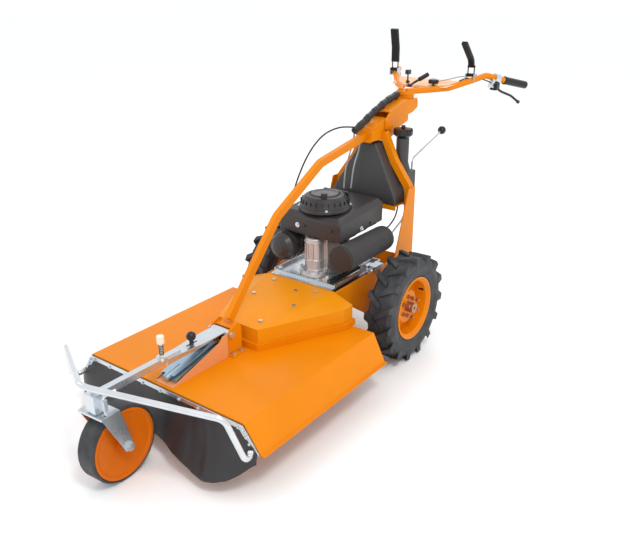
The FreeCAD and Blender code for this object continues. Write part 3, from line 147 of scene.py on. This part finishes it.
class Surface:
    """A material built from its shader outwards, in the object's own coordinates."""

    def __init__(self, name, colour, rough, metal=0.0):
        self.material = bpy.data.materials.new(name)
        self.material.use_nodes = True
        self.tree = self.material.node_tree
        self.shader = self.tree.nodes["Principled BSDF"]
        self.shader.inputs["Metallic"].default_value = metal
        self.shader.inputs["Roughness"].default_value = rough
        self.shader.inputs["Base Color"].default_value = (*colour, 1)
        self.colour = colour
        self.rough = rough
        self.coords = self.tree.nodes.new("ShaderNodeTexCoord").outputs["Object"]
        self.normal = None

    def add(self, kind, **values):
        item = self.tree.nodes.new(kind)
        for key, value in values.items():
            if key in item.inputs:
                item.inputs[key].default_value = value
            else:
                setattr(item, key, value)
        return item

    def join(self, source, target):
        self.tree.links.new(source, target)

    def noise(self, scale, detail=3.0):
        item = self.add("ShaderNodeTexNoise")
        item.inputs["Scale"].default_value = scale
        item.inputs["Detail"].default_value = detail
        self.join(self.coords, item.inputs["Vector"])
        return item.outputs["Fac"]

    def cells(self, scale):
        item = self.add("ShaderNodeTexVoronoi")
        item.inputs["Scale"].default_value = scale
        self.join(self.coords, item.inputs["Vector"])
        return item

    def spread(self, source, low, high, low_out, high_out):
        item = self.add("ShaderNodeMapRange")
        for key, value in (("From Min", low), ("From Max", high), ("To Min", low_out), ("To Max", high_out)):
            item.inputs[key].default_value = value
        self.join(source, item.inputs["Value"])
        return item.outputs["Result"]

    def mix(self, factor, dark, light):
        """Colour that runs from dark to light with the factor; either may be another colour output."""
        item = self.add("ShaderNodeMix", data_type="RGBA")
        for key, value in ((6, dark), (7, light)):
            if isinstance(value, tuple):
                item.inputs[key].default_value = (*value, 1)
            else:
                self.join(value, item.inputs[key])
        self.join(factor, item.inputs[0])
        return item.outputs[2]

    def paint(self, source):
        self.join(source, self.shader.inputs["Base Color"])

    def mottle(self, scale, amount, rough_amount=0.06):
        """Slow variation of tone and gloss over the surface."""
        slow = self.noise(scale, 5.0)
        dark = tuple(c * (1 - amount) for c in self.colour)
        light = tuple(min(1.0, c * (1 + amount)) for c in self.colour)
        self.tone = self.mix(self.spread(slow, 0.3, 0.7, 0, 1), dark, light)
        self.paint(self.tone)
        gloss = self.spread(slow, 0.3, 0.7, self.rough - rough_amount, self.rough + rough_amount)
        self.join(gloss, self.shader.inputs["Roughness"])
        return self

    def rounded(self, radius):
        """Shade the edges as if they were rounded off by this radius."""
        item = self.add("ShaderNodeBevel", samples=4)
        item.inputs["Radius"].default_value = radius
        self.normal = item.outputs["Normal"]
        self.join(self.normal, self.shader.inputs["Normal"])
        return self

    def grain(self, height, distance, strength):
        """Small relief from a height output, on top of the rounded edges."""
        item = self.add("ShaderNodeBump")
        item.inputs["Distance"].default_value = distance
        item.inputs["Strength"].default_value = strength
        self.join(height, item.inputs["Height"])
        if self.normal:
            self.join(self.normal, item.inputs["Normal"])
        self.normal = item.outputs["Normal"]
        self.join(self.normal, self.shader.inputs["Normal"])
        return self

    def painted_edge_highlight(self, colour, amount, edge=0.0015):
        """Painted highlight: edges lightened towards another colour, broken up by noise."""
        soft = self.add("ShaderNodeBevel", samples=4)
        soft.inputs["Radius"].default_value = edge
        flat = self.add("ShaderNodeNewGeometry").outputs["True Normal"]
        meet = self.add("ShaderNodeVectorMath", operation="DOT_PRODUCT")
        self.join(soft.outputs["Normal"], meet.inputs[0])
        self.join(flat, meet.inputs[1])
        edges = self.spread(meet.outputs["Value"], 0.97, 0.80, 0, amount)
        patches = self.spread(self.noise(38, 6.0), 0.46, 0.62, 0, 1)
        edge_highlight_mask = self.add("ShaderNodeMath", operation="MULTIPLY")
        self.join(edges, edge_highlight_mask.inputs[0])
        self.join(patches, edge_highlight_mask.inputs[1])
        self.tone = self.mix(edge_highlight_mask.outputs[0], self.tone, colour)
        self.paint(self.tone)
        return self

    def set(self, **values):
        for key, value in values.items():
            self.shader.inputs[key.replace("_", " ")].default_value = value
        return self


def powder_coat(name, colour, rough=0.36):
    """Powder coated steel: slight orange peel, with a painted highlight lightening the edges."""
    paint = Surface(name, colour, rough).mottle(5, 0.05).rounded(0.0012)
    paint.grain(paint.noise(420, 2.0), 0.0006, 0.10)
    # Painted highlight: a lighter tone of the paint laid along the edges.
    paint.painted_edge_highlight(tuple(min(1, c * 1.2 + 0.06) for c in colour), 0.5)
    return paint.set(Coat_Weight=0.06, Coat_Roughness=0.08, Specular_IOR_Level=0.14).material


def zinc_plate(name, colour, rough=0.34, spangle=70):
    """Zinc plated or galvanised steel, with faint crystals and dull patches."""
    metal = Surface(name, colour, rough, 0.9).mottle(6, 0.04, 0.04).rounded(0.0008)
    crystals = metal.cells(spangle).outputs["Color"]
    grey = metal.add("ShaderNodeRGBToBW")
    metal.join(crystals, grey.inputs[0])
    tone = metal.spread(grey.outputs[0], 0.2, 0.8, 0.0, 0.22)
    metal.tone = metal.mix(tone, metal.tone, tuple(c * 0.82 for c in colour))
    metal.paint(metal.tone)
    return metal.grain(metal.noise(600, 2.0), 0.0003, 0.12).material


def cast_metal(name, colour, rough=0.5, metallic=0.75):
    """Sand or die cast metal with a pebbled skin."""
    metal = Surface(name, colour, rough, metallic).mottle(14, 0.10, 0.08).rounded(0.0018)
    return metal.grain(metal.noise(260, 4.0), 0.0009, 0.35).material


def moulding(name, colour, rough=0.5, texture=900, relief=0.14):
    """Injection moulded plastic with a fine spark-eroded grain."""
    plastic = Surface(name, colour, rough).mottle(7, 0.07).rounded(0.0015)
    return plastic.grain(plastic.cells(texture).outputs["Distance"], 0.0005, relief).material


def rubber(name, colour, rough=0.72, relief=0.25, dust=0.0):
    """Black rubber, matt, with a fine skin and a little dust in patches."""
    item = Surface(name, colour, rough).mottle(12, 0.16, 0.08)
    if dust:
        patches = item.spread(item.noise(22, 6.0), 0.42, 0.72, 0, dust)
        item.tone = item.mix(patches, item.tone, (0.19, 0.185, 0.18))
        item.paint(item.tone)
    return item.grain(item.noise(320, 5.0), 0.0006, relief).material


ORANGE = (0.73, 0.215, 0.0)
LOOK = {
    "orange": powder_coat("Orange", ORANGE),
    "deep_orange": powder_coat("DeepOrange", (0.63, 0.128, 0.0)),
    # Painted reflection: the wedge bracket's paler orange stands in for the light its cheek reflects.
    "painted_reflection_orange": powder_coat("PaintedReflectionCoat", (0.74, 0.30, 0.11), 0.30),
    "blue_zinc": zinc_plate("BlueZinc", (0.42, 0.56, 0.66), 0.36, 90),
    # Painted highlight: the belt cover's lighter orange stands in for its brighter highlight.
    "painted_highlight_orange": powder_coat("PaintedHighlightOrange", (0.76, 0.262, 0.003), 0.40),
    "zinc": zinc_plate("Zinc", (0.64, 0.69, 0.73), 0.26),
    "galvanised": zinc_plate("Galvanised", (0.68, 0.71, 0.74), 0.22, 45),
    "steel": zinc_plate("Steel", (0.50, 0.51, 0.53), 0.30, 120),
    "copper": zinc_plate("CopperBrown", (0.50, 0.27, 0.17), 0.46, 120),
    "cast": cast_metal("CastAluminium", (0.56, 0.51, 0.50), 0.42),
    "iron": cast_metal("CastIron", (0.055, 0.055, 0.06), 0.55, 0.4),
    "black": powder_coat("BlackCoat", (0.012, 0.012, 0.013), 0.40),
    "cowl": moulding("Cowl", (0.026, 0.023, 0.024), 0.38),
    "tank": moulding("Tank", (0.040, 0.038, 0.040), 0.46),
    "plastic": moulding("BlackPlastic", (0.004, 0.004, 0.0045), 0.27, 1200, 0.05),
    "dial": moulding("Dial", (0.085, 0.082, 0.085), 0.40),
    "guard": cast_metal("MufflerGuard", (0.060, 0.057, 0.060), 0.45, 0.5),
    "burnt": cast_metal("MufflerEnd", (0.050, 0.038, 0.036), 0.55, 0.5),
    "pale_orange": moulding("PaleOrange", (0.86, 0.42, 0.20), 0.45, 900, 0.08),
    "cream": moulding("Cream", (0.80, 0.72, 0.58), 0.40, 900, 0.05),
    "tyre": rubber("Tyre", (0.020, 0.022, 0.027), 0.60, 0.30, 0.16),
    "flap": rubber("FlapRubber", (0.022, 0.020, 0.022), 0.40, 0.06, 0.0),
    "cable": rubber("Cable", (0.008, 0.008, 0.009), 0.45, 0.05),
    "grey_cable": rubber("GreyCable", (0.32, 0.32, 0.33), 0.50, 0.05),
}

NODE_LOOKS = {
    "orange": ["deck_shell", "belt_tray", "front_strut", "strut_foot", "rear_frame", "chassis_frame",
               "rim_left", "rim_right", "handlebar", "frame_head", "handlebar_riser"],
    "deep_orange": ["caster_wheel"],
    "painted_reflection_orange": ["wedge_bracket"],
    "blue_zinc": ["spring_channel"],
    "painted_highlight_orange": ["belt_cover"],
    "zinc": ["engine_frame", "belt_adjusters", "caster_arm", "caster_fork", "swivel_plunger",
             "frame_screws", "lever_mounts", "flap_strips"],
    "galvanised": ["front_hoop"],
    "black": ["drive_lever", "blade_lever"],
    "burnt": ["muffler"],
    "steel": ["spindle_shaft", "blade", "skid_dish", "crankshaft", "gearbox_pulley", "blade_idler",
              "drive_idler", "gear_lever"],
    "copper": ["hub_left", "hub_right"],
    "cast": ["crankcase"],
    "iron": ["spindle_housing", "gearbox"],
    "cowl": ["engine_cowl", "starter_housing", "air_filter"],
    "tank": ["fuel_tank"],
    "plastic": ["fuel_cap", "release_lever", "grips", "brake_lever", "throttle_lever", "swivel_release",
                "star_knob", "starter_grip"],
    "cream": ["height_pin"],
    "tyre": ["tyre_left", "tyre_right", "caster_tyre"],
    "flap": ["rubber_flap", "v_belts"],
    "cable": ["engine_cables", "rear_sleeve"],
}


def dress_nodes():
    for look, nodes in NODE_LOOKS.items():
        for node in nodes:
            item = frame["nodes"][node]
            item.data.materials.clear()
            item.data.materials.append(LOOK[look])


dress_nodes()

# ---------------------------------------------------------------- making pieces


def new_piece(name, mesh, look, body, smooth=True):
    item = bpy.data.objects.new(name, mesh)
    bpy.context.scene.collection.objects.link(item)
    mesh.materials.clear()
    mesh.materials.append(LOOK[look])
    if smooth:
        mesh.polygons.foreach_set("use_smooth", [True] * len(mesh.polygons))
    if body:
        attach(item, body)
    return item


def from_bmesh(name, shape, look, body, smooth=False):
    mesh = bpy.data.meshes.new(name)
    bmesh.ops.recalc_face_normals(shape, faces=shape.faces)
    shape.to_mesh(mesh)
    shape.free()
    return new_piece(name, mesh, look, body, smooth)


def turned(shape, outline, place, axis=(0, 0, 1), steps=32):
    """Add a turned form to a bmesh: outline is (radius, height) pairs in mm along the axis."""
    turn = Vector(axis).normalized().to_track_quat("Z", "X").to_matrix().to_4x4()
    matrix = Matrix.Translation(place) @ turn
    rings = []
    for radius, height in outline:
        ring = []
        for angle in around(steps):
            local = Vector((radius * math.cos(angle), radius * math.sin(angle), height)) / 1000
            ring.append(shape.verts.new(matrix @ local))
        rings.append(ring)
    for low, high in zip(rings, rings[1:]):
        for step in range(steps):
            after = (step + 1) % steps
            shape.faces.new((low[step], low[after], high[after], high[step]))
    shape.faces.new(list(reversed(rings[0])))
    shape.faces.new(rings[-1])


def bolt(shape, place, axis, across, height):
    """Hexagon head with a chamfered top on a plain washer; across is its width over the flats in mm."""
    washer = across * 0.16
    corner = across * 0.577
    turned(shape, [(across * 0.98, 0), (across * 0.98, washer), (across * 0.55, across * 0.17)],
           place, axis, 24)
    turned(shape, [(corner, washer), (corner, washer + height * 0.86), (across * 0.48, washer + height)],
           place, axis, 6)


def bolts(name, body, places, across=13, height=8, look="zinc"):
    shape = bmesh.new()
    for place, axis in places:
        bolt(shape, place, axis, across, height)
    from_bmesh(name, shape, look, body)


def cable(name, points, diameter, look, body=None):
    """A round cable on one smooth curve through a given route."""
    curve = bpy.data.curves.new(name, "CURVE")
    curve.dimensions = "3D"
    curve.bevel_depth = diameter / 2000
    curve.bevel_resolution = 5
    curve.resolution_u = 10
    spline = curve.splines.new("NURBS")
    spline.points.add(len(points) - 1)
    for target, point in zip(spline.points, points):
        target.co = (*at(*point), 1)
    spline.order_u = 3
    spline.use_endpoint_u = True
    curve.use_fill_caps = True
    item = bpy.data.objects.new(name, curve)
    bpy.context.scene.collection.objects.link(item)
    curve.materials.append(LOOK[look])
    if body:
        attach(item, body)
    return item


def evaluated_mesh(item):
    bpy.context.view_layer.update()
    graph = bpy.context.evaluated_depsgraph_get()
    return bpy.data.meshes.new_from_object(item.evaluated_get(graph))


def as_mesh(item, name, look, body):
    """Turn a curve or a piece with modifiers into a plain mesh piece."""
    mesh = evaluated_mesh(item)
    bpy.data.objects.remove(item)
    return new_piece(name, mesh, look, body)


MOULDED_FACES_KEPT = 0.4


def moulded(node, look, voxel, passes):
    """Stand-in for a CAD casting or moulding, with all its edges rounded."""
    rough = bpy.data.objects.new(node + "_rough", frame["nodes"][node].data.copy())
    bpy.context.scene.collection.objects.link(rough)
    remesh = rough.modifiers.new("Remesh", "REMESH")
    remesh.mode = "VOXEL"
    remesh.voxel_size = voxel
    soften = rough.modifiers.new("Soften", "SMOOTH")
    soften.factor = 0.5
    soften.iterations = passes
    thin = rough.modifiers.new("Thin", "DECIMATE")
    thin.ratio = MOULDED_FACES_KEPT
    piece = as_mesh(rough, node + "_moulding", look, body_of(node))
    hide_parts(node)


# ---------------------------------------------------------------- control cables

THROTTLE_CABLE = [(-10, 92, 836), (-18, 40, 846), (-26, -14, 846), (-38, -66, 832), (-48, -112, 800),
                  (-60, -148, 752), (-76, -164, 700), (-94, -170, 648), (-108, -168, 604), (-112, -164, 582)]
DOWN_CABLE_A = [(-26, 118, 812), (-30, 118, 770), (-44, 112, 722), (-54, 104, 672), (-58, 100, 622),
                (-58, 98, 588)]
DOWN_CABLE_B = [(-14, 140, 770), (-20, 146, 740), (-30, 136, 700), (-34, 126, 660), (-34, 118, 620),
                (-34, 112, 588)]
SIDE_CABLE = [(128, 210, 528), (132, 200, 500), (134, 170, 470), (128, 130, 446), (112, 104, 430)]
SLEEVE = [(-6, 88, 822), (-6, 140, 842), (-6, 190, 863), (-6, 236, 880), (-6, 266, 890), (-6, 310, 905),
          (-6, 354, 915), (-6, 400, 923)]


def make_cables():
    throttle = cable("throttle_cable", THROTTLE_CABLE, 6, "cable", "machine")
    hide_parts("engine_cables")
    cable("down_cable_a", DOWN_CABLE_A, 6, "grey_cable", "machine")
    cable("down_cable_b", DOWN_CABLE_B, 6, "grey_cable", "machine")
    cable("side_cable", SIDE_CABLE, 6, "cable", "machine")
    sleeve = as_mesh(cable("sleeve_line", SLEEVE, 27, "cable"), "control_sleeve", "cable", None)
    for vert in sleeve.data.vertices:
        wave = math.sin(vert.co.y * 120) + 0.6 * math.sin(vert.co.y * 310 + vert.co.x * 90)
        vert.co += vert.normal * 0.0011 * wave
    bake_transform(sleeve)
    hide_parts("rear_sleeve")


make_cables()

# ---------------------------------------------------------------- rubber flap

FLAP_ACROSS = 120
FLAP_DOWN = 30
# The hem at shares of the half width from the right side to the left: how far forward of the deck's
# mouth it stands and how high above the ground it hangs, in millimetres.
HEM_SHARES = [-1.0, -0.95, -0.85, -0.72, -0.56, -0.38, -0.20, 0.0, 0.13, 0.28, 0.41, 0.51, 0.59, 0.68, 0.78,
              0.87, 0.95, 1.0]
HEM_FORWARD = [2, 26, 52, 74, 80, 68, 46, 36, 50, 72, 80, 84, 88, 90, 78, 57, 27, 1]
HEM_HEIGHTS = [116, 90, 64, 48, 42, 52, 60, 64, 66, 64, 54, 45, 40, 41, 50, 64, 90, 118]


def smooth_between(shares, values, share):
    for left, right, low, high in zip(shares, shares[1:], values, values[1:]):
        if share <= right:
            t = (share - left) / (right - left)
            return low + (high - low) * t * t * (3 - 2 * t)
    return values[-1]


def softened(shares, values, share):
    """The table's value, averaged over its neighbourhood so that no kink is left."""
    near = [max(-1.0, min(1.0, share + step * 0.02)) for step in range(-3, 4)]
    return sum(smooth_between(shares, values, place) for place in near) / len(near)


def make_flap():
    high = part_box("rubber_flap")[1]
    back = high.y - 0.0016
    top = high.z
    top_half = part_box("deck_shell")[1].x - 0.074
    hem_half = high.x - 0.004
    shape = bmesh.new()
    grid = []
    for row in range(FLAP_DOWN + 1):
        drop = row / FLAP_DOWN
        row_points = []
        for column in range(FLAP_ACROSS + 1):
            share = 2 * column / FLAP_ACROSS - 1
            z = top + (softened(HEM_SHARES, HEM_HEIGHTS, share) / 1000 - top) * drop
            half = top_half + (hem_half - top_half) * min(1.0, (top - z) / 0.075)
            forward = softened(HEM_SHARES, HEM_FORWARD, share) / 1000
            crease = 0.006 * math.exp(-((share - 0.50 - 0.16 * drop) / 0.035) ** 2)
            crease -= 0.005 * math.exp(-((share - 0.36 - 0.10 * drop) / 0.05) ** 2)
            swell = max(0.0, drop - 0.10) / 0.90
            y = back - forward * swell ** 1.25 - crease * swell * (1.3 - drop)
            row_points.append(shape.verts.new((share * half, min(y, back), z)))
        grid.append(row_points)
    for upper, lower in zip(grid, grid[1:]):
        for column in range(FLAP_ACROSS):
            shape.faces.new((upper[column], upper[column + 1], lower[column + 1], lower[column]))
    flap = from_bmesh("flap_curtain", shape, "flap", "machine", smooth=True)
    thick = flap.modifiers.new("Thickness", "SOLIDIFY")
    thick.thickness = 0.003
    thick.offset = 0
    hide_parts("rubber_flap")


make_flap()

# ---------------------------------------------------------------- details


def slab(shape, low, high, chamfer=1.0):
    """Add a box between two corners in mm, with its edges bevelled."""
    made = bmesh.ops.create_cube(shape, size=1)["verts"]
    middle_point = (at(*low) + at(*high)) / 2
    span = at(*high) - at(*low)
    for vert in made:
        vert.co = middle_point + Vector(c * s for c, s in zip(vert.co, span))
    edges = {edge for vert in made for edge in vert.link_edges}
    bmesh.ops.bevel(shape, geom=list(edges), offset=chamfer / 1000, segments=2, affect="EDGES",
                    profile=0.5)


def wire(name, points, diameter, look, body):
    """A bent wire or tube on a NURBS line, as a mesh piece."""
    as_mesh(cable(name, points, diameter, look), name, look, body)


def weld_bead(name, points, diameter, look, body):
    """A rippled bead along a seam: overlapping balls on a line of points."""
    shape = bmesh.new()
    for start, end in zip(points, points[1:]):
        first, last = at(*start), at(*end)
        count = max(2, int((last - first).length / (diameter * 0.0006)))
        for i in range(count):
            centre = first.lerp(last, i / count)
            bmesh.ops.create_icosphere(shape, subdivisions=1, radius=diameter / 2000,
                                       matrix=Matrix.Translation(centre))
    from_bmesh(name, shape, look, body, smooth=True)


# Centre lines that several details share, in mm.
STARTER_Y = -110
COLUMN_Y = -172
MUFFLER_X, MUFFLER_Z = 152, 432
GUARD_RADIUS = 47.4
GUARD_FRONT, GUARD_LENGTH = -222, 286
PIN_Y = -940


def make_engine_details():
    # Recoil starter: a stepped housing with ribs round it, a paler dial and a bar across.
    shape = bmesh.new()
    top = [(98, 0), (99, 2), (99, 11), (96, 14), (93, 15), (92, 24), (89, 27), (88, 35), (83, 38), (80, 46),
           (72, 52), (60, 54), (58, 50), (54, 50), (52, 53), (20, 55.5), (18, 53)]
    turned(shape, top, at(0, STARTER_Y, 570), steps=72)
    starter = from_bmesh("recoil_housing", shape, "cowl", "machine")
    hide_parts("starter_housing")
    shape = bmesh.new()
    for angle in around(24):
        rib = bmesh.ops.create_cube(shape, size=1)["verts"]
        turn = Matrix.Translation(at(0, STARTER_Y, 600)) @ Matrix.Rotation(angle, 4, "Z")
        for vert in rib:
            local = Vector((vert.co.x * 0.012 + 0.0862, vert.co.y * 0.003, vert.co.z * 0.016))
            vert.co = turn @ local
    from_bmesh("recoil_ribs", shape, "plastic", "machine")
    shape = bmesh.new()
    turned(shape, [(52, 52), (52, 56.5), (49, 58.5), (44, 58), (42, 55.8), (4, 57)],
           at(0, STARTER_Y, 570), steps=64)
    from_bmesh("recoil_dial", shape, "dial", "machine")
    shape = bmesh.new()
    slab(shape, (-58, -44, 604), (58, -30, 622), 4)
    from_bmesh("recoil_bar", shape, "plastic", "machine")
    bolts("recoil_screws", "machine", [(at(94 * math.cos(a), STARTER_Y + 94 * math.sin(a), 582), (0, 0, 1))
                                       for a in (0.6, 2.2, 3.9, 5.4)], 8, 5)
    # Cowl: two cap screws and three small ones.
    bolts("cowl_caps", "machine",
          [(at(-60, -200.5, 515), (0, -1, 0)), (at(133.4, -64, 500), (1, 0, 0))], 10, 6)
    bolts("cowl_screws", "machine", [(at(-26, -200.5, 518), (0, -1, 0)), (at(133.6, -2, 508), (1, 0, 0)),
                                     (at(96, -201.5, 520), (0, -1, 0))], 6, 3, "plastic")
    # Muffler guard: a dimpled sheet round the can, rings over it, a rounded front end and rear studs.
    shape = bmesh.new()
    steps, rows = 54, 48
    rings = []
    for row in range(rows + 1):
        y = GUARD_FRONT + GUARD_LENGTH * row / rows
        ring = []
        for angle in around(steps):
            ring.append(shape.verts.new(at(MUFFLER_X + GUARD_RADIUS * math.cos(angle), y,
                                           MUFFLER_Z + GUARD_RADIUS * math.sin(angle))))
        rings.append(ring)
    cells = []
    for near, far in zip(rings, rings[1:]):
        for step in range(steps):
            after = (step + 1) % steps
            cells.append(shape.faces.new((near[step], far[step], far[after], near[after])))
    bmesh.ops.recalc_face_normals(shape, faces=shape.faces)
    bmesh.ops.inset_individual(shape, faces=cells, thickness=0.0013, depth=-0.0026)
    from_bmesh("muffler_guard", shape, "guard", "machine")
    shape = bmesh.new()
    for i in range(34):
        turned(shape, [(47.2, -1.2), (48.6, -0.5), (48.6, 0.5), (47.2, 1.2)],
               at(MUFFLER_X, -210 + 8 * i, MUFFLER_Z), (0, 1, 0), 48)
    from_bmesh("muffler_rings", shape, "dial", "machine")
    shape = bmesh.new()
    turned(shape, [(30, 0), (43, 1.2), (47.6, 4), (48.4, 7), (47.6, 10)],
           at(MUFFLER_X, -229, MUFFLER_Z), (0, 1, 0), 56)
    from_bmesh("muffler_end", shape, "burnt", "machine")
    shape = bmesh.new()
    for angle in around(18):
        place = at(MUFFLER_X + 45 * math.cos(angle), 68, MUFFLER_Z + 45 * math.sin(angle))
        turned(shape, [(1.6, 0), (1.8, 4), (1.2, 7)], place - Vector((0, 0.003, 0)), (0, 1, 0), 8)
    from_bmesh("muffler_vents", shape, "zinc", "machine")
    # Crankcase: flange bolts, and two collars and five ribs on the column at its front.
    bolts("flange_bolts", "machine", [(at(54 * math.cos(a), COLUMN_Y + 54 * math.sin(a), 347), (0, 0, 1))
                                      for a in (3.4, 4.1, 4.8, 5.5, 6.1)], 9, 6)
    shape = bmesh.new()
    turned(shape, [(35.2, -2), (39, -1), (39, 5), (36, 8)], at(0, COLUMN_Y, 384), (0, 0, 1), 36)
    turned(shape, [(35.2, 0), (40, 2), (40, 10), (35.5, 13)], at(0, COLUMN_Y, 452), (0, 0, 1), 36)
    for angle in (3.3, 3.9, 4.5, 5.1, 5.7):
        place = at(36.5 * math.cos(angle), COLUMN_Y + 36.5 * math.sin(angle), 390)
        turned(shape, [(3.4, 0), (2.8, 58)], place, (0, 0, 1), 10)
    from_bmesh("column_ribs", shape, "cast", "machine")
    # Mounting plate: black rail on the near side, zinc clips and bolts.
    shape = bmesh.new()
    slab(shape, (114, -236, 338.4), (134, -60, 350), 2)
    from_bmesh("engine_rail", shape, "black", "machine")
    shape = bmesh.new()
    slab(shape, (88, -250, 338.4), (110, -196, 352), 1.5)
    slab(shape, (104, -70, 338.4), (140, -30, 356), 1.5)
    slab(shape, (100, -24, 338.4), (126, 20, 350), 1.5)
    from_bmesh("rail_clips", shape, "zinc", "machine")
    bolts("rail_bolts", "machine", [(at(99, -232, 352), (0, 0, 1)), (at(122, -50, 356), (0, 0, 1)),
                                    (at(-120, -232, 338.4), (0, 0, 1)), (at(-120, 30, 338.4), (0, 0, 1))],
          10, 6)
    # Air filter: three bands, with a breather hose to the crankcase.
    shape = bmesh.new()
    for y in (-196, -172, -152):
        turned(shape, [(55.6, -2), (58, -1.2), (58, 1.2), (55.6, 2)], at(-121, y, 421), (0, 1, 0), 40)
    from_bmesh("filter_bands", shape, "plastic", "machine")
    wire("breather_hose", [(-72, -176, 420), (-58, -182, 430), (-50, -190, 446), (-40, -192, 462)],
         12, "cable", "machine")
    # Filler cap: scalloped skirt.
    shape = bmesh.new()
    for angle in around(14):
        turned(shape, [(3.6, 12), (4.2, 16), (4.2, 30), (3.0, 36)],
               at(96 + 34.5 * math.cos(angle), 283 + 34.5 * math.sin(angle), 778), (0, 0, 1), 10)
    from_bmesh("cap_lobes", shape, "plastic", body_of("fuel_cap"))


def make_wheel_details():
    for side, sign in (("left", 1), ("right", -1)):
        axis = (sign, 0, 0)
        body = body_of("rim_" + side)
        valve = bmesh.new()
        turned(valve, [(3.4, 0), (3.4, 12), (4.4, 12.5), (4.4, 19), (2.6, 20)],
               at(sign * 322, 62, 262), axis, 14)
        from_bmesh("valve_" + side, valve, "plastic", body)


# Corners run right then left, under then over, front then rear.
SLOPED_PLATE_FACES = [(0, 1, 3, 2), (4, 5, 7, 6), (0, 1, 5, 4), (2, 3, 7, 6), (0, 2, 6, 4), (1, 3, 7, 5)]


def make_deck_details():
    strip_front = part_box("flap_strips")[0].y
    axis_front = (0, -1, 0)
    proud = 0.0006
    places = []
    for i in range(9):
        x = -320 + 80 * i
        places.append((Vector((x / 1000, strip_front + proud, 0.2035)), axis_front))
    bolts("strip_screws", "machine", places, 7, 4)
    for sign, name in ((1, "left"), (-1, "right")):
        side = []
        for i in range(4):
            z = 200 - 18 * i
            x = (338 + (200 - z) * 0.62) * sign
            side.append((Vector((x / 1000, strip_front + proud, z / 1000)), axis_front))
        bolts("side_strip_screws_" + name, "machine", side, 8, 4)
    shape = bmesh.new()
    front, rear = (-924, 231), (-738, 270)
    corners = []
    for y, z in (front, rear):
        for lift in (0, 1.2):
            corners += [shape.verts.new(at(x, y, z + 14 + lift)) for x in (-27, 27)]
    for face in SLOPED_PLATE_FACES:
        shape.faces.new([corners[i] for i in face])
    from_bmesh("channel_cover", shape, "blue_zinc", "machine")
    weld_bead("strut_weld", [(-10, -661, 320), (10, -661, 320)], 4, "orange", "machine")


def make_caster_details():
    arm = body_of("caster_arm")
    shape = bmesh.new()
    turned(shape, [(9.5, 0), (11.5, 2), (11.5, 20), (9, 23)], at(0, PIN_Y, 358.6), (0, 0, 1), 24)
    from_bmesh("pin_knob", shape, "cream", body_of("height_pin"))
    shape = bmesh.new()
    for i in range(6):
        turned(shape, [(6.2, -1.1), (7.6, -0.5), (7.6, 0.5), (6.2, 1.1)],
               at(0, PIN_Y, 322 + 5.5 * i), (0, 0, 1), 18)
    from_bmesh("pin_spring", shape, "guard", arm)
    shape = bmesh.new()
    bmesh.ops.create_uvsphere(shape, u_segments=28, v_segments=18, radius=0.0156,
                              matrix=Matrix.Translation(at(0, -819, 330)))
    from_bmesh("release_ball", shape, "plastic", body_of("release_lever"), smooth=True)


def make_control_details():
    shape = bmesh.new()
    bmesh.ops.create_uvsphere(shape, u_segments=28, v_segments=18, radius=0.0178,
                              matrix=Matrix.Translation(at(85, 640, 749)))
    from_bmesh("gear_ball", shape, "plastic", body_of("gear_lever"), smooth=True)
    bar = body_of("handlebar")
    shape = bmesh.new()
    corners = [(-126, 560, 940), (126, 560, 940), (168, 668, 957), (-168, 668, 957)]
    under = [shape.verts.new(at(x, y, z - 0.6)) for x, y, z in corners]
    over = [shape.verts.new(at(x, y, z + 1.2)) for x, y, z in corners]
    shape.faces.new(over)
    shape.faces.new(list(reversed(under)))
    for i in range(4):
        after = (i + 1) % 4
        shape.faces.new((under[i], under[after], over[after], over[i]))
    bmesh.ops.bevel(shape, geom=list(shape.edges), offset=0.0005, segments=1, affect="EDGES")
    from_bmesh("console_plate", shape, "pale_orange", bar)
    shape = bmesh.new()
    for angle in around(8):
        turned(shape, [(5.2, 0), (6.4, 3), (6.4, 12), (4.6, 15)],
               at(64 + 16 * math.cos(angle), 576 + 16 * math.sin(angle), 953), (0, 0, 1), 12)
    from_bmesh("star_lobes", shape, "plastic", body_of("star_knob"))
    for side, x, lever in (("left", 178, "drive_lever"), ("right", -192, "blade_lever")):
        wire("lever_wire_" + side, [(x - 14, 690, 990), (x - 15, 690, 1012), (x - 13, 689, 1026)], 3.4, "zinc",
             body_of(lever))
    for side, sign in (("left", 1), ("right", -1)):
        start, end = Vector((268 * sign, 832, 955)), Vector((324 * sign, 940, 928))
        along = (end - start).normalized()
        shape = bmesh.new()
        outline = [(14.2, 0), (17.4, 2), (17.4, 6), (15.4, 9)]
        for i in range(9):
            outline += [(15.4, 12 + 11 * i), (16.4, 15 + 11 * i), (16.4, 19 + 11 * i), (15.4, 22 + 11 * i)]
        outline += [(15.2, 116), (12.5, 122), (6, 125)]
        turned(shape, outline, at(*start), tuple(along), 28)
        from_bmesh("grip_sleeve_" + side, shape, "plastic", body_of("grips"))
    shape = bmesh.new()
    slab(shape, (230, 774, 917), (264, 808, 947), 5)
    from_bmesh("brake_perch_cover", shape, "plastic", bar)
    wire("console_cable_near", [(150, 640, 962), (168, 664, 975), (182, 690, 968), (212, 740, 968),
                                (240, 782, 944)], 5, "cable", bar)
    wire("console_cable_far", [(40, 610, 952), (90, 640, 962), (140, 676, 978), (170, 690, 978)],
         4, "grey_cable", bar)


make_engine_details()
make_wheel_details()
make_deck_details()
make_caster_details()
make_control_details()

# ---------------------------------------------------------------- mouldings and castings

moulded("engine_cowl", "cowl", 0.0035, 7)
moulded("fuel_tank", "tank", 0.004, 8)
moulded("crankcase", "cast", 0.0025, 3)
moulded("gearbox", "iron", 0.0025, 3)
